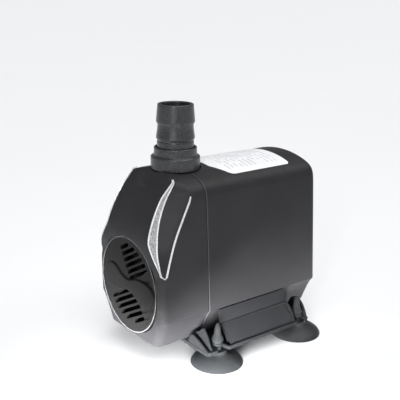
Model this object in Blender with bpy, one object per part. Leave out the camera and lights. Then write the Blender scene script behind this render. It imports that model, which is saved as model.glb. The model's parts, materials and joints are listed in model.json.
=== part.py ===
"""Fountain submersible pump, built as separate named parts.

Lengths are millimetres in the constants and metres in the meshes (MM converts).
+Z is up, the inlet grille faces -Y and the origin is at the middle of the footprint.
"""
import math

import bmesh
import bpy
from mathutils import Matrix, Vector

MM = 0.001
GAP = 0.3            # clearance kept between parts that touch

# Motor housing and front cover, seen along Y (half widths and heights)
BODY_BOTTOM = 13.7
SKIRT_HALF = 32.9    # half width at the underside
CREASE_Z = 36.3      # widest line, where the skirt meets the flat side
CREASE_HALF = 42.0
SHOULDER_Z = 118.0   # top of the flat side
SHOULDER_HALF = 36.3
CROWN_Z = 135.2      # top of the crowned roof
WALL = 2.4

# Stations along Y
SEAM_Y = -33.5       # split between front cover and housing, also the outlet axis
BULKHEAD_Y = -19.2   # front face of the housing bulkhead
BULKHEAD_T = 4.5
REAR_Y = 74.2
REAR_ROUND = 4.0
SPIGOT_LEN = 5.0

# Front face heights and the leaf facets on its upper corners
FACE_LEAN = ((13.7, -72.0), (36.3, -73.8), (62.0, -75.3), (80.0, -75.7), (88.0, -76.0), (92.0, -75.6),
             (96.0, -74.6), (104.0, -71.8), (112.0, -68.0), (120.0, -63.2), (128.0, -56.8),
             (132.0, -53.2), (135.2, -50.0))
LEAF_LINE = ((68.3, 39.8, -70.6), (81.0, 38.9, -66.7), (95.0, 37.9, -61.5),
             (109.0, 36.9, -54.3), (122.4, 35.6, -46.9))
BLADE_INNER = ((68.3, 39.2, -72.2), (76.0, 38.3, -73.2), (80.0, 36.8, -73.1), (84.0, 34.9, -72.6),
               (88.0, 33.1, -71.7), (92.0, 31.4, -70.5), (96.0, 30.3, -69.6), (104.0, 28.9, -67.5),
               (112.0, 27.7, -64.3), (120.0, 26.7, -59.9), (128.0, 25.8, -54.1), (132.0, 25.3, -51.3))
BLADE_OUTER = ((68.3, 38.9, -72.9), (72.0, 38.4, -73.9), (76.0, 37.0, -74.6), (80.0, 34.6, -75.4),
               (84.0, 31.8, -75.8), (88.0, 29.0, -75.9), (92.0, 26.6, -75.5), (96.0, 25.6, -74.5),
               (104.0, 24.9, -71.7), (112.0, 24.2, -67.9), (120.0, 23.6, -63.1), (128.0, 23.3, -56.7),
               (132.0, 23.6, -53.1))
CORNER_R = 6.0       # rounding of the lower front corners
LEAF_TIP_Z = 68.3
LEAF_TOP_Z = 131.0

# Inlet grille dial
DIAL_Z = 53.3        # height of the rotor axis
DIAL_R = 35.5
DIAL_FRONT_Y = -74.8
DIAL_T = 3.2
GRIP_FRONT_Y = -76.9
SLOT_ANGLE = 29.0
SLOT_PITCH = 4.57
SLOT_FIRST = 3.7      # distance of the first slot from the middle of the dial
SLOT_W = 2.7
SLOTS_PER_SIDE = 6
UPPER_REACH = 30.5    # how far out the upper slots run, and where they start
UPPER_NEAR = 5.0
LOWER_REACH = 27.3
LOWER_NEAR = 7.0      # the lower slots run past the middle of the dial
WINDOW_START = 39.0
WINDOW_SPAN = 84.0

# Outlet
OUTLET_Y = SEAM_Y
PIPE_R = 13.0
PIPE_BORE = 10.5
DECK_Z = 133.2       # flat round the outlet under the nut
THREAD_R = 15.2
THREAD_TOP = 138.0
NUT_R = 17.8
NUT_Z0 = 134.0
NUT_Z1 = 143.1
NECK_R = 15.5
NECK_Z1 = 149.6
NUT_BORE = 14.2
ADAPTER_TOP = 180.1

# Pump chamber and rotor
CHAMBER_R = 26.5
CHAMBER_BORE = 24.0
CHAMBER_FRONT_Y = -58.0
FLANGE_R = 34.6
FLANGE_T = 4.0
EYE_R = 11.5
SCREW_R = 31.2       # pitch radius of the chamber screws
SEAL_R = 26.6        # ring seal between chamber and bulkhead
SEAL_WIRE = 1.0
WELL_R = 16.5
WELL_BORE = 14.5
WELL_END_Y = 42.0
MAGNET_R = 13.2
SHAFT_R = 2.0

# Foot and suction cups
PLATE_Z0 = 10.4
PLATE_Z1 = 13.3
PLATE_HALF = 57.4
PLATE_Y0 = -46.4
PLATE_Y1 = 54.0
CUP_X = 49.9
CUP_Y = (-32.0, 47.2)
CUP_R = 19.05
PANEL_Y0 = -25.5
PANEL_Y1 = 40.5


def clear_scene():
    for obj in list(bpy.data.objects):
        bpy.data.objects.remove(obj, do_unlink=True)


def make_material(name, colour, roughness, metallic=0.0):
    material = bpy.data.materials.new(name)
    material.use_nodes = True
    shader = material.node_tree.nodes["Principled BSDF"]
    shader.inputs["Base Color"].default_value = (*colour, 1.0)
    shader.inputs["Roughness"].default_value = roughness
    shader.inputs["Metallic"].default_value = metallic
    return material


def lerp_table(table, z, column=1):
    """Value of one column at height z, held constant past both ends."""
    if z <= table[0][0]:
        return table[0][column]
    for low, high in zip(table, table[1:]):
        if z <= high[0]:
            t = (z - low[0]) / (high[0] - low[0])
            return low[column] + t * (high[column] - low[column])
    return table[-1][column]


def add_object(name, verts, faces, material, smooth_angle=35.0):
    mesh = bpy.data.meshes.new(name)
    mesh.from_pydata([tuple(c * MM for c in v) for v in verts], [], faces)
    bm = bmesh.new()
    bm.from_mesh(mesh)
    bmesh.ops.recalc_face_normals(bm, faces=bm.faces)
    bm.to_mesh(mesh)
    bm.free()
    obj = bpy.data.objects.new(name, mesh)
    bpy.context.scene.collection.objects.link(obj)
    mesh.materials.append(material)
    mesh.shade_smooth()
    mesh.set_sharp_from_angle(angle=math.radians(smooth_angle))
    return obj


def copy_mesh_object(name, source, matrix):
    obj = bpy.data.objects.new(name, source.data)
    bpy.context.scene.collection.objects.link(obj)
    obj.matrix_world = matrix
    return obj


def rings_to_faces(count, size, close_ends=True):
    faces = []
    for i in range(count - 1):
        for j in range(size):
            k = (j + 1) % size
            faces.append((i * size + j, i * size + k, (i + 1) * size + k, (i + 1) * size + j))
    if close_ends:
        faces.append(tuple(range(size)))
        faces.append(tuple(range((count - 1) * size, count * size)))
    return faces


def loft(name, rings, material, smooth_angle=35.0):
    verts = [v for ring in rings for v in ring]
    return add_object(name, verts, rings_to_faces(len(rings), len(rings[0])), material, smooth_angle)


def revolve(name, profile, material, segments=32, axis="Z", centre=(0, 0, 0)):
    """Solid of revolution of a closed (radius, height) loop; radius 0 ends make poles."""
    verts = []
    faces = []
    index = []
    for r, h in profile:
        if r < 1e-6:
            index.append([len(verts)] * segments)
            verts.append((0.0, 0.0, h))
            continue
        row = []
        for j in range(segments):
            a = 2 * math.pi * j / segments
            row.append(len(verts))
            verts.append((r * math.cos(a), r * math.sin(a), h))
        index.append(row)
    closed = profile[0][0] > 1e-6 and profile[-1][0] > 1e-6
    pairs = list(zip(index, index[1:]))
    if closed:
        pairs.append((index[-1], index[0]))
    for a, b in pairs:
        for j in range(segments):
            k = (j + 1) % segments
            face = [a[j], a[k], b[k], b[j]]
            unique = list(dict.fromkeys(face))
            if len(unique) > 2:
                faces.append(tuple(unique))
    turned = []
    for x, y, z in verts:
        if axis == "Y":
            x, y, z = x, z, -y
        if axis == "X":
            x, y, z = z, y, -x
        turned.append((x + centre[0], y + centre[1], z + centre[2]))
    return add_object(name, turned, faces, material)


def prism(name, outline, start, end, material, axis="Z"):
    """Closed prism of a 2-D outline between two stations along an axis."""
    verts = []
    for h in (start, end):
        for u, v in outline:
            verts.append({"Z": (u, v, h), "Y": (u, h, v), "X": (h, u, v)}[axis])
    return add_object(name, verts, rings_to_faces(2, len(outline)), material)


def box(name, low, high, material):
    outline = [(low[0], low[1]), (high[0], low[1]), (high[0], high[1]), (low[0], high[1])]
    return prism(name, outline, low[2], high[2], material)


def combine(target, other, operation):
    """Boolean modifier; the tool object stays in the scene as a hidden cutter."""
    modifier = target.modifiers.new(other.name, "BOOLEAN")
    modifier.operation = operation
    modifier.solver = "EXACT"
    modifier.object = other
    other.hide_render = True
    other.display_type = "WIRE"


def cut(target, other):
    combine(target, other, "DIFFERENCE")


def join(target, other):
    combine(target, other, "UNION")


def mirror_outline(half):
    """Full loop from a half outline that runs from x = 0 at the bottom to x = 0 on top."""
    return half + [(-x, z) for x, z in reversed(half) if x > 1e-6]


def body_half(inset=0.0):
    """Right half of the body section, bottom centre to crown, moved in by inset."""
    side = (CREASE_HALF - SHOULDER_HALF) / (SHOULDER_Z - CREASE_Z)
    points = [(0.0, BODY_BOTTOM), (SKIRT_HALF - 2.4, BODY_BOTTOM), (SKIRT_HALF + 0.2, 20.0),
              (SKIRT_HALF + 3.2, 27.0), (CREASE_HALF - 2.6, 33.4), (CREASE_HALF, CREASE_Z),
              (CREASE_HALF - side * 40, CREASE_Z + 40), (SHOULDER_HALF, SHOULDER_Z),
              (35.5, 122.2), (34.0, 125.4), (31.6, 127.9), (28.2, 129.9), (22.0, 132.1),
              (15.0, 133.8), (7.5, 134.9), (0.0, CROWN_Z)]
    if inset == 0.0:
        return points
    moved = []
    for i, (x, z) in enumerate(points):
        ax, az = points[max(i - 1, 0)]
        bx, bz = points[min(i + 1, len(points) - 1)]
        if i == 0:
            ax = -bx
            az = bz
        if i == len(points) - 1:
            bx = -ax
            bz = az
        dx = bx - ax
        dz = bz - az
        length = math.hypot(dx, dz)
        moved.append((max(x - inset * dz / length, 0.0), z + inset * dx / length))
    corner_x = points[1][0] - inset * 0.75
    moved[0] = (0.0, BODY_BOTTOM + inset)
    moved[1] = (corner_x, BODY_BOTTOM + inset)
    moved[-1] = (0.0, CROWN_Z - inset)
    return moved


def body_ring(y, inset=0.0):
    return [(x, y, z) for x, z in mirror_outline(body_half(inset))]


def side_half(z):
    """Half width of the body at height z."""
    half = body_half()[1:]
    for (x0, z0), (x1, z1) in zip(half, half[1:]):
        if z0 <= z <= z1:
            return x0 + (x1 - x0) * (z - z0) / (z1 - z0)
    return 0.0 if z > CROWN_Z else half[0][0]


def cover_slice(z, inset=0.0, back=SEAM_Y, level=None):
    """Plan outline of the front cover at height z, from right seam round to left seam."""
    half = max(side_half(z), 0.5)
    face = lerp_table(FACE_LEAN, z)
    radius = min(CORNER_R, half * 0.5)
    corner = []
    for k in range(5):
        a = math.radians(22.5 * k)
        corner.append((half - radius + radius * math.cos(a), face + radius - radius * math.sin(a)))
    if z > LEAF_TIP_Z - 4.0:
        line = (min(half, lerp_table(LEAF_LINE, z, 1)), lerp_table(LEAF_LINE, z, 2))
        inner = (lerp_table(BLADE_INNER, z, 1), lerp_table(BLADE_INNER, z, 2))
        outer = (lerp_table(BLADE_OUTER, z, 1), lerp_table(BLADE_OUTER, z, 2))
        line = (half, max(line[1], face + 0.4))
        inner = (inner[0], max(inner[1], face + 0.2))
        outer = (outer[0], max(outer[1], face + 0.1))
        if inner[0] > half - 1.0:
            inner = (half - 1.0 if half > 2.0 else half * 0.5, inner[1])
            outer = (min(outer[0], inner[0] - 0.3), outer[1])
        leaf = [line]
        for t in (1 / 3, 2 / 3):
            leaf.append((line[0] + t * (inner[0] - line[0]), line[1] + t * (inner[1] - line[1])))
        leaf += [inner, outer]
        t = min(1.0, (z - LEAF_TIP_Z + 4.0) / 8.0)
        corner = [(c[0] + t * (e[0] - c[0]), c[1] + t * (e[1] - c[1])) for c, e in zip(corner, leaf)]
    points = [(half, back)] + corner
    last = points[-1]
    for t in (0.5, 0.0):
        points.append((last[0] * t, face + (last[1] - face) * t * t))
    if inset > 0.0:
        shrink = (half - inset) / half
        points = [(x * shrink, y + inset) for x, y in points]
        points[0] = (points[0][0], back)
    height = z if level is None else level
    full = points + [(-x, y) for x, y in reversed(points[:-1])]
    return [(x, y, height) for x, y in full]


COVER_LEVELS = (13.7, 20.0, 27.0, 33.4, 36.3, 48.0, 62.0, 68.3, 74.0, 80.0, 86.0, 91.0, 95.0, 102.0,
                109.0, 114.0, 118.0, 122.2, 125.4, 127.9, 129.9, 132.1, 133.8, 134.9)


def cover_solid(name, material, inset=0.0, back=SEAM_Y):
    rings = []
    for z in COVER_LEVELS:
        level = z
        if inset > 0.0:
            span = CROWN_Z - BODY_BOTTOM
            level = BODY_BOTTOM + inset + (z - BODY_BOTTOM) * (span - 2 * inset) / span
        rings.append(cover_slice(z, inset, back, level))
    return loft(name, rings, material, 28.0)


def circle(radius, centre, count, start=0.0):
    return [(centre[0] + radius * math.cos(start + 2 * math.pi * k / count),
             centre[1] + radius * math.sin(start + 2 * math.pi * k / count)) for k in range(count)]


def cylinder(name, radius, centre, start, end, material, axis="Z", count=40):
    half_step = math.pi / count
    return prism(name, circle(radius, centre, count, half_step), start, end, material, axis)


def sector(radius_in, radius_out, centre, a0, a1, steps=10):
    points = []
    for k in range(steps + 1):
        a = math.radians(a0 + (a1 - a0) * k / steps)
        points.append((centre[0] + radius_out * math.cos(a), centre[1] + radius_out * math.sin(a)))
    for k in range(steps // 2 + 1):
        a = math.radians(a1 + (a0 - a1) * k / (steps // 2))
        points.append((centre[0] + radius_in * math.cos(a), centre[1] + radius_in * math.sin(a)))
    return points


def stadium(length0, length1, offset, width, centre, angle):
    """Slot outline in the dial plane, along a direction turned by angle."""
    c = math.cos(math.radians(angle))
    s = math.sin(math.radians(angle))
    points = []
    for end, a0 in ((length1, -90), (length0, 90)):
        for k in range(4):
            a = math.radians(a0 + 60 * k)
            u = end + 0.5 * width * math.cos(a)
            v = offset + 0.5 * width * math.sin(a)
            points.append((centre[0] + u * c - v * s, centre[1] + u * s + v * c))
    return points


def outlet_cutter(name, plastic):
    """Stepped round cutter: hole for the outlet pipe and the flat deck under the nut."""
    deck_r = NUT_R + 0.8
    hole_r = PIPE_R + 0.5
    tool = revolve(name, [(0.0, 90.0), (hole_r, 90.0), (hole_r, DECK_Z), (deck_r, DECK_Z),
                          (deck_r, 145.0), (0.0, 145.0)], plastic, 40, "Z")
    tool.location = (0.0, OUTLET_Y * MM, 0.0)
    tool.rotation_euler = (0.0, 0.0, math.radians(4.5))
    return tool


def build_front_cover(plastic):
    cover = cover_solid("front_cover", plastic)
    boss = revolve("tool_boss", [(0.0, 112.0), (23.0, 112.0), (21.0, 121.0), (18.6, 129.0),
                                 (17.6, DECK_Z), (0.0, DECK_Z)], plastic, 40, "Z", (0, OUTLET_Y, 0))
    rear_half = box("tool_boss_half", (-30, SEAM_Y, 100), (30, 10, 140), plastic)
    cut(boss, rear_half)
    cavity = cover_solid("tool_cover_cavity", plastic, WALL, SEAM_Y + 1.5)
    ledge = cylinder("tool_dial_ledge", DIAL_R + 2.6, (0, DIAL_Z), -82.0, -69.4, plastic, "Y", 48)
    cut(cavity, ledge)
    join(cover, boss)
    cut(cover, cavity)
    recess = cylinder("tool_dial_recess", DIAL_R + GAP, (0, DIAL_Z), -90.0, -71.2, plastic, "Y", 56)
    cut(cover, recess)
    for k, start in enumerate((WINDOW_START, WINDOW_START + 180)):
        window = prism(f"tool_window_{k}", sector(8.0, 31.0, (0, DIAL_Z), start, start + WINDOW_SPAN),
                       -75, -65, plastic, "Y")
        cut(cover, window)
    hub = cylinder("tool_dial_hub", 3.0 + GAP, (0, DIAL_Z), -75, -65, plastic, "Y", 24)
    cut(cover, hub)
    cut(cover, outlet_cutter("tool_cover_outlet", plastic))
    return cover


def build_housing(plastic):
    front = SEAM_Y + GAP
    rings = [body_ring(front), body_ring(REAR_Y - REAR_ROUND), body_ring(REAR_Y - 1.6, 0.55),
             body_ring(REAR_Y - 0.4, 1.5), body_ring(REAR_Y, 2.6)]
    housing = loft("motor_housing", rings, plastic)
    spigot = loft("tool_spigot", [body_ring(front - SPIGOT_LEN, WALL + 1.5),
                                  body_ring(front + 2.2, WALL + 1.5)], plastic)
    join(housing, spigot)
    mouth = loft("tool_mouth", [body_ring(front - 8.0, WALL + 2.5), body_ring(front + 3.0, WALL + 2.5)],
                 plastic)
    cut(housing, mouth)
    pocket = loft("tool_pocket", [body_ring(front + 2.2, WALL + 2.0), body_ring(BULKHEAD_Y, WALL + 2.0)],
                  plastic)
    cut(housing, pocket)
    bay = loft("tool_bay", [body_ring(BULKHEAD_Y + BULKHEAD_T, WALL + 1.2),
                            body_ring(REAR_Y - 5.0, WALL + 1.2)], plastic)
    cut(housing, bay)
    seat = loft("tool_seat", [body_ring(REAR_Y - 4.0, WALL + 0.2), body_ring(REAR_Y + 2.0, WALL + 0.2)],
                plastic)
    seat_link = loft("tool_seat_link", [body_ring(REAR_Y - 8.0, WALL + 1.2),
                                        body_ring(REAR_Y - 3.0, WALL + 1.2)], plastic)
    cut(housing, seat)
    cut(housing, seat_link)
    well = cylinder("tool_well", WELL_R, (0, DIAL_Z), BULKHEAD_Y + 1.0, WELL_END_Y + 2.0, plastic, "Y", 40)
    join(housing, well)
    bore = cylinder("tool_well_bore", WELL_BORE, (0, DIAL_Z), BULKHEAD_Y - 2.0, WELL_END_Y, plastic,
                    "Y", 40)
    cut(housing, bore)
    cut(housing, outlet_cutter("tool_housing_outlet", plastic))
    for k in range(4):
        a = math.radians(45 + 90 * k)
        hole = cylinder(f"tool_pilot_{k}", 1.5 + GAP,
                        (SCREW_R * math.cos(a), DIAL_Z + SCREW_R * math.sin(a)),
                        BULKHEAD_Y - 1.0, BULKHEAD_Y + 3.9, plastic, "Y", 12)
        cut(housing, hole)
    return housing


def build_rear_cover(plastic):
    cover = loft("rear_cover", [body_ring(REAR_Y - 3.6, WALL + 0.2 + GAP),
                                body_ring(REAR_Y - 0.6, WALL + 0.2 + GAP)], plastic)
    hole = cylinder("tool_gland_hole", 6.0 + GAP, (0, DIAL_Z), REAR_Y - 8, REAR_Y + 2, plastic, "Y", 24)
    cut(cover, hole)
    return cover


def grip_outline():
    half = [(-0.97, -0.10), (-0.84, -0.18), (-0.70, -0.235), (-0.44, -0.24), (-0.24, -0.20),
            (-0.08, -0.12), (0.09, -0.125), (0.234, -0.167), (0.35, -0.235), (0.44, -0.296),
            (0.60, -0.33), (0.72, -0.27), (0.83, -0.18), (0.955, -0.03)]
    loop = half + [(-x, -z) for x, z in half]
    return [(x * DIAL_R, DIAL_Z + z * DIAL_R) for x, z in loop]


def build_dial(plastic):
    profile = [(0.0, DIAL_FRONT_Y), (DIAL_R - 0.8, DIAL_FRONT_Y), (DIAL_R, DIAL_FRONT_Y + 0.7),
               (DIAL_R, DIAL_FRONT_Y + DIAL_T), (0.0, DIAL_FRONT_Y + DIAL_T)]
    dial = revolve("inlet_dial", profile, plastic, 56, "Y", (0, 0, DIAL_Z))
    for k in range(SLOTS_PER_SIDE):
        offset = SLOT_FIRST + SLOT_PITCH * k
        upper = math.sqrt(UPPER_REACH ** 2 - offset ** 2) - SLOT_W / 2
        lower = math.sqrt(LOWER_REACH ** 2 - offset ** 2) - SLOT_W / 2
        for side, low, high in ((1, UPPER_NEAR, upper), (-1, -lower, LOWER_NEAR)):
            slot = prism(f"tool_slot_{k}_{side + 1}",
                         stadium(low, high, side * offset, SLOT_W, (0, DIAL_Z), SLOT_ANGLE),
                         DIAL_FRONT_Y - 6, DIAL_FRONT_Y + 8, plastic, "Y")
            cut(dial, slot)
    grip = prism("tool_grip", grip_outline(), GRIP_FRONT_Y, DIAL_FRONT_Y + DIAL_T - 0.01, plastic, "Y")
    join(dial, grip)
    hub = revolve("tool_hub", [(0.0, DIAL_FRONT_Y + 1.0), (3.0, DIAL_FRONT_Y + 1.0), (3.0, -68.6),
                               (0.0, -68.6)], plastic, 24, "Y", (0, 0, DIAL_Z))
    join(dial, hub)
    return dial


def strip_solid(name, left, right, lift, thickness, material):
    """Thin solid band between two curves, lifted off the surface they lie on."""
    rows = []
    count = len(left)
    for i in range(count):
        a = Vector(left[i])
        b = Vector(right[i])
        ahead = (Vector(left[min(i + 1, count - 1)]) + Vector(right[min(i + 1, count - 1)])) / 2
        behind = (Vector(left[max(i - 1, 0)]) + Vector(right[max(i - 1, 0)])) / 2
        normal = (b - a).cross(ahead - behind).normalized()
        if normal.y > 0 and abs(normal.y) > 0.05:
            normal = -normal
        if abs(normal.y) <= 0.05 and normal.x * a.x < 0:
            normal = -normal
        rows.append([a + normal * lift, b + normal * lift,
                     b + normal * (lift + thickness), a + normal * (lift + thickness)])
    verts = [tuple(v) for row in rows for v in row]
    return add_object(name, verts, rings_to_faces(count, 4), material)


def build_trim(name, side, silver):
    """One silver V: the broad blade on the face and the thin line along the side."""
    levels = (70.5, 74.0, 80.0, 85.5, 91.0, 95.0, 99.0, 104.0, 109.0, 114.0, 119.0, 124.5, 130.0)
    outer = []
    inner = []
    for z in levels:
        outer.append((side * lerp_table(BLADE_OUTER, z, 1), lerp_table(BLADE_OUTER, z, 2), z))
        inner.append((side * (lerp_table(BLADE_INNER, z, 1) - 0.3), lerp_table(BLADE_INNER, z, 2), z))
    trim = strip_solid(name, outer, inner, 0.35, 0.7, silver)
    low = []
    high = []
    for z in (69.6, 75.0, 81.0, 88.0, 95.0, 102.0, 109.0, 116.0, 121.0):
        y = lerp_table(LEAF_LINE, z, 2)
        half = side_half(z)
        low.append((side * half, y - 0.1, z))
        high.append((side * half, y + 1.3, z))
    thin = strip_solid(f"tool_{name}_line", low, high, 0.35, 0.6, silver)
    join(trim, thin)
    left = []
    right = []
    for z in (69.8, 70.9, 72.0):
        left.append((side * (lerp_table(BLADE_INNER, z, 1) - 0.9), lerp_table(BLADE_INNER, z, 2) - 0.4, z))
        right.append((side * side_half(z), lerp_table(LEAF_LINE, z, 2) + 0.6, z))
    tip = strip_solid(f"tool_{name}_tip", left, right, 0.6, 0.5, silver)
    join(trim, tip)
    return trim


def build_chamber(plastic):
    profile = [(EYE_R, CHAMBER_FRONT_Y), (CHAMBER_R - 2.0, CHAMBER_FRONT_Y),
               (CHAMBER_R, CHAMBER_FRONT_Y + 2.0), (CHAMBER_R, BULKHEAD_Y - GAP - FLANGE_T),
               (FLANGE_R, BULKHEAD_Y - GAP - FLANGE_T), (FLANGE_R, BULKHEAD_Y - GAP),
               (SEAL_R + 1.3, BULKHEAD_Y - GAP), (SEAL_R + 1.3, BULKHEAD_Y - GAP - 2.3),
               (SEAL_R - 1.3, BULKHEAD_Y - GAP - 2.3), (SEAL_R - 1.3, BULKHEAD_Y - GAP),
               (CHAMBER_BORE, BULKHEAD_Y - GAP), (CHAMBER_BORE, CHAMBER_FRONT_Y + 2.6),
               (EYE_R, CHAMBER_FRONT_Y + 2.6)]
    chamber = revolve("pump_chamber", profile, plastic, 40, "Y", (0, 0, DIAL_Z))
    pipe = revolve("tool_pipe", [(0.0, DIAL_Z + 12), (PIPE_R, DIAL_Z + 12), (PIPE_R, DECK_Z + 0.4),
                                 (THREAD_R, DECK_Z + 0.6), (THREAD_R, THREAD_TOP), (0.0, THREAD_TOP)],
                   plastic, 32, "Z", (0, OUTLET_Y, 0))
    core = cylinder("tool_pipe_core", CHAMBER_BORE + 0.9, (0, DIAL_Z), -50, -15, plastic, "Y", 40)
    cut(pipe, core)
    relief = box("tool_pipe_relief", (-20, -22.2, 60), (20, -10, DIAL_Z + 31), plastic)
    cut(pipe, relief)
    join(chamber, pipe)
    bore = cylinder("tool_pipe_bore", PIPE_BORE, (0, OUTLET_Y), DIAL_Z + 12, 145, plastic, "Z", 32)
    cut(chamber, bore)
    spider = revolve("tool_spider", [(0.0, CHAMBER_FRONT_Y), (4.6, CHAMBER_FRONT_Y),
                                     (4.6, CHAMBER_FRONT_Y + 6.0), (0.0, CHAMBER_FRONT_Y + 6.0)],
                     plastic, 24, "Y", (0, 0, DIAL_Z))
    for k in range(3):
        a = math.radians(90 + 120 * k)
        u = Vector((math.cos(a), math.sin(a)))
        v = Vector((-u.y, u.x)) * 0.9
        centre = Vector((0, DIAL_Z))
        points = [centre + v, centre + u * (EYE_R + 1) + v, centre + u * (EYE_R + 1) - v, centre - v]
        spoke = prism(f"tool_spoke_{k}", [tuple(p) for p in points], CHAMBER_FRONT_Y + 0.2,
                      CHAMBER_FRONT_Y + 2.4, plastic, "Y")
        join(spider, spoke)
    join(chamber, spider)
    socket = cylinder("tool_front_socket", 3.2 + GAP, (0, DIAL_Z), CHAMBER_FRONT_Y + 1.6,
                      CHAMBER_FRONT_Y + 8, plastic, "Y", 24)
    cut(chamber, socket)
    for k in range(4):
        a = math.radians(45 + 90 * k)
        spot = (SCREW_R * math.cos(a), DIAL_Z + SCREW_R * math.sin(a))
        hole = cylinder(f"tool_flange_hole_{k}", 1.5 + GAP, spot, -30, -15, plastic, "Y", 14)
        cut(chamber, hole)
    return chamber


def build_outlet(plastic, rubber):
    centre = (0, OUTLET_Y, 0)
    nut = revolve("union_nut", [(THREAD_R + GAP, NUT_Z0), (NUT_R - 0.5, NUT_Z0), (NUT_R, NUT_Z0 + 0.5),
                                (NUT_R, NUT_Z1 - 0.5), (NUT_R - 0.5, NUT_Z1), (NECK_R, NUT_Z1),
                                (NECK_R, NECK_Z1 - 0.4), (NECK_R - 0.3, NECK_Z1), (NUT_BORE, NECK_Z1),
                                (NUT_BORE, 141.7), (THREAD_R + GAP, 141.7)], plastic, 36, "Z", centre)
    gasket = revolve("outlet_gasket", [(PIPE_BORE, THREAD_TOP + GAP), (14.8, THREAD_TOP + GAP),
                                       (14.8, 139.5), (PIPE_BORE, 139.5)], rubber, 32, "Z", centre)
    adapter = revolve("hose_adapter", [(PIPE_BORE, 139.8), (15.1, 139.8), (15.1, 141.4), (13.3, 141.4),
                                       (13.3, 153.4), (12.9, 154.0), (13.9, 155.8), (12.9, 163.0),
                                       (12.9, 165.4), (13.9, 167.6), (12.95, 179.6), (12.6, ADAPTER_TOP),
                                       (10.9, ADAPTER_TOP), (PIPE_BORE, 179.6)], plastic, 32, "Z", centre)
    return nut, gasket, adapter


def build_rotor(plastic, magnet, ceramic, rubber):
    centre = (0, 0, DIAL_Z)
    bore = SHAFT_R + GAP
    impeller = revolve("impeller", [(bore, -50.6), (5.0, -50.6), (6.2, -31.0), (20.5, -31.0),
                                    (20.5, -29.4), (9.0, -29.4), (9.0, -4.0), (bore, -4.0)],
                       plastic, 36, "Y", centre)
    for k in range(6):
        a = math.radians(30 + 60 * k)
        u = Vector((math.cos(a), math.sin(a)))
        v = Vector((-u.y, u.x)) * 0.8
        c = Vector((0, DIAL_Z))
        points = [c + u * 4.0 + v, c + u * 20.3 + v, c + u * 20.3 - v, c + u * 4.0 - v]
        vane = prism(f"tool_vane_{k}", [tuple(p) for p in points], -49.6, -30.2, plastic, "Y")
        join(impeller, vane)
    rotor = revolve("magnet_rotor", [(bore, -3.6), (MAGNET_R - 0.6, -3.6), (MAGNET_R, -3.0),
                                     (MAGNET_R, 33.0), (MAGNET_R - 0.6, 33.6), (bore, 33.6)],
                    magnet, 36, "Y", centre)
    shaft = revolve("ceramic_shaft", [(0.0, -55.9), (SHAFT_R - 0.4, -55.9), (SHAFT_R, -55.5),
                                      (SHAFT_R, 40.6), (SHAFT_R - 0.4, 41.0), (0.0, 41.0)],
                    ceramic, 20, "Y", centre)
    front = revolve("front_bush", [(bore, -56.1), (3.2, -56.1), (3.2, -52.4), (bore, -52.4)],
                    rubber, 24, "Y", centre)
    rear = revolve("rear_bush", [(bore, 35.4), (WELL_BORE - GAP, 35.4), (WELL_BORE - GAP, WELL_END_Y - GAP),
                                 (bore, WELL_END_Y - GAP)], rubber, 32, "Y", centre)
    wire = [(SEAL_R + SEAL_WIRE * math.cos(math.radians(60 * k)),
             BULKHEAD_Y - GAP - 1.0 + SEAL_WIRE * math.sin(math.radians(60 * k))) for k in range(6)]
    revolve("chamber_seal", wire, rubber, 36, "Y", centre)
    return impeller, rotor, shaft, front, rear


STATOR_Y0 = 0.0
STATOR_Y1 = 32.0
LEG_IN = 9.0
LEG_OUT = 27.0
LEG_BOTTOM = 36.0
YOKE_Z0 = 101.0
YOKE_Z1 = 119.0
COIL_Z0 = 73.5
COIL_Z1 = 99.0
COIL_BUILD = 6.2
BOBBIN_WALL = 1.2


def stator_outline(grow=0.0):
    """Inverted U of laminations whose legs are bored round the rotor well."""
    radius = WELL_R + GAP - grow
    points = [(-LEG_OUT - grow, LEG_BOTTOM - grow), (-LEG_OUT - grow, YOKE_Z1 + grow),
              (LEG_OUT + grow, YOKE_Z1 + grow), (LEG_OUT + grow, LEG_BOTTOM - grow)]
    inner = LEG_IN - grow
    drop = math.sqrt(radius ** 2 - inner ** 2)
    arc = []
    steps = 9
    limit = math.atan2(drop, inner)
    for k in range(steps + 1):
        a = -limit + 2 * limit * k / steps
        arc.append((radius * math.cos(a), DIAL_Z + radius * math.sin(a)))
    right = [(inner, LEG_BOTTOM - grow)] + arc + [(inner, YOKE_Z0 - grow)]
    left = [(-x, z) for x, z in reversed(right)]
    return points + right + left


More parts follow.
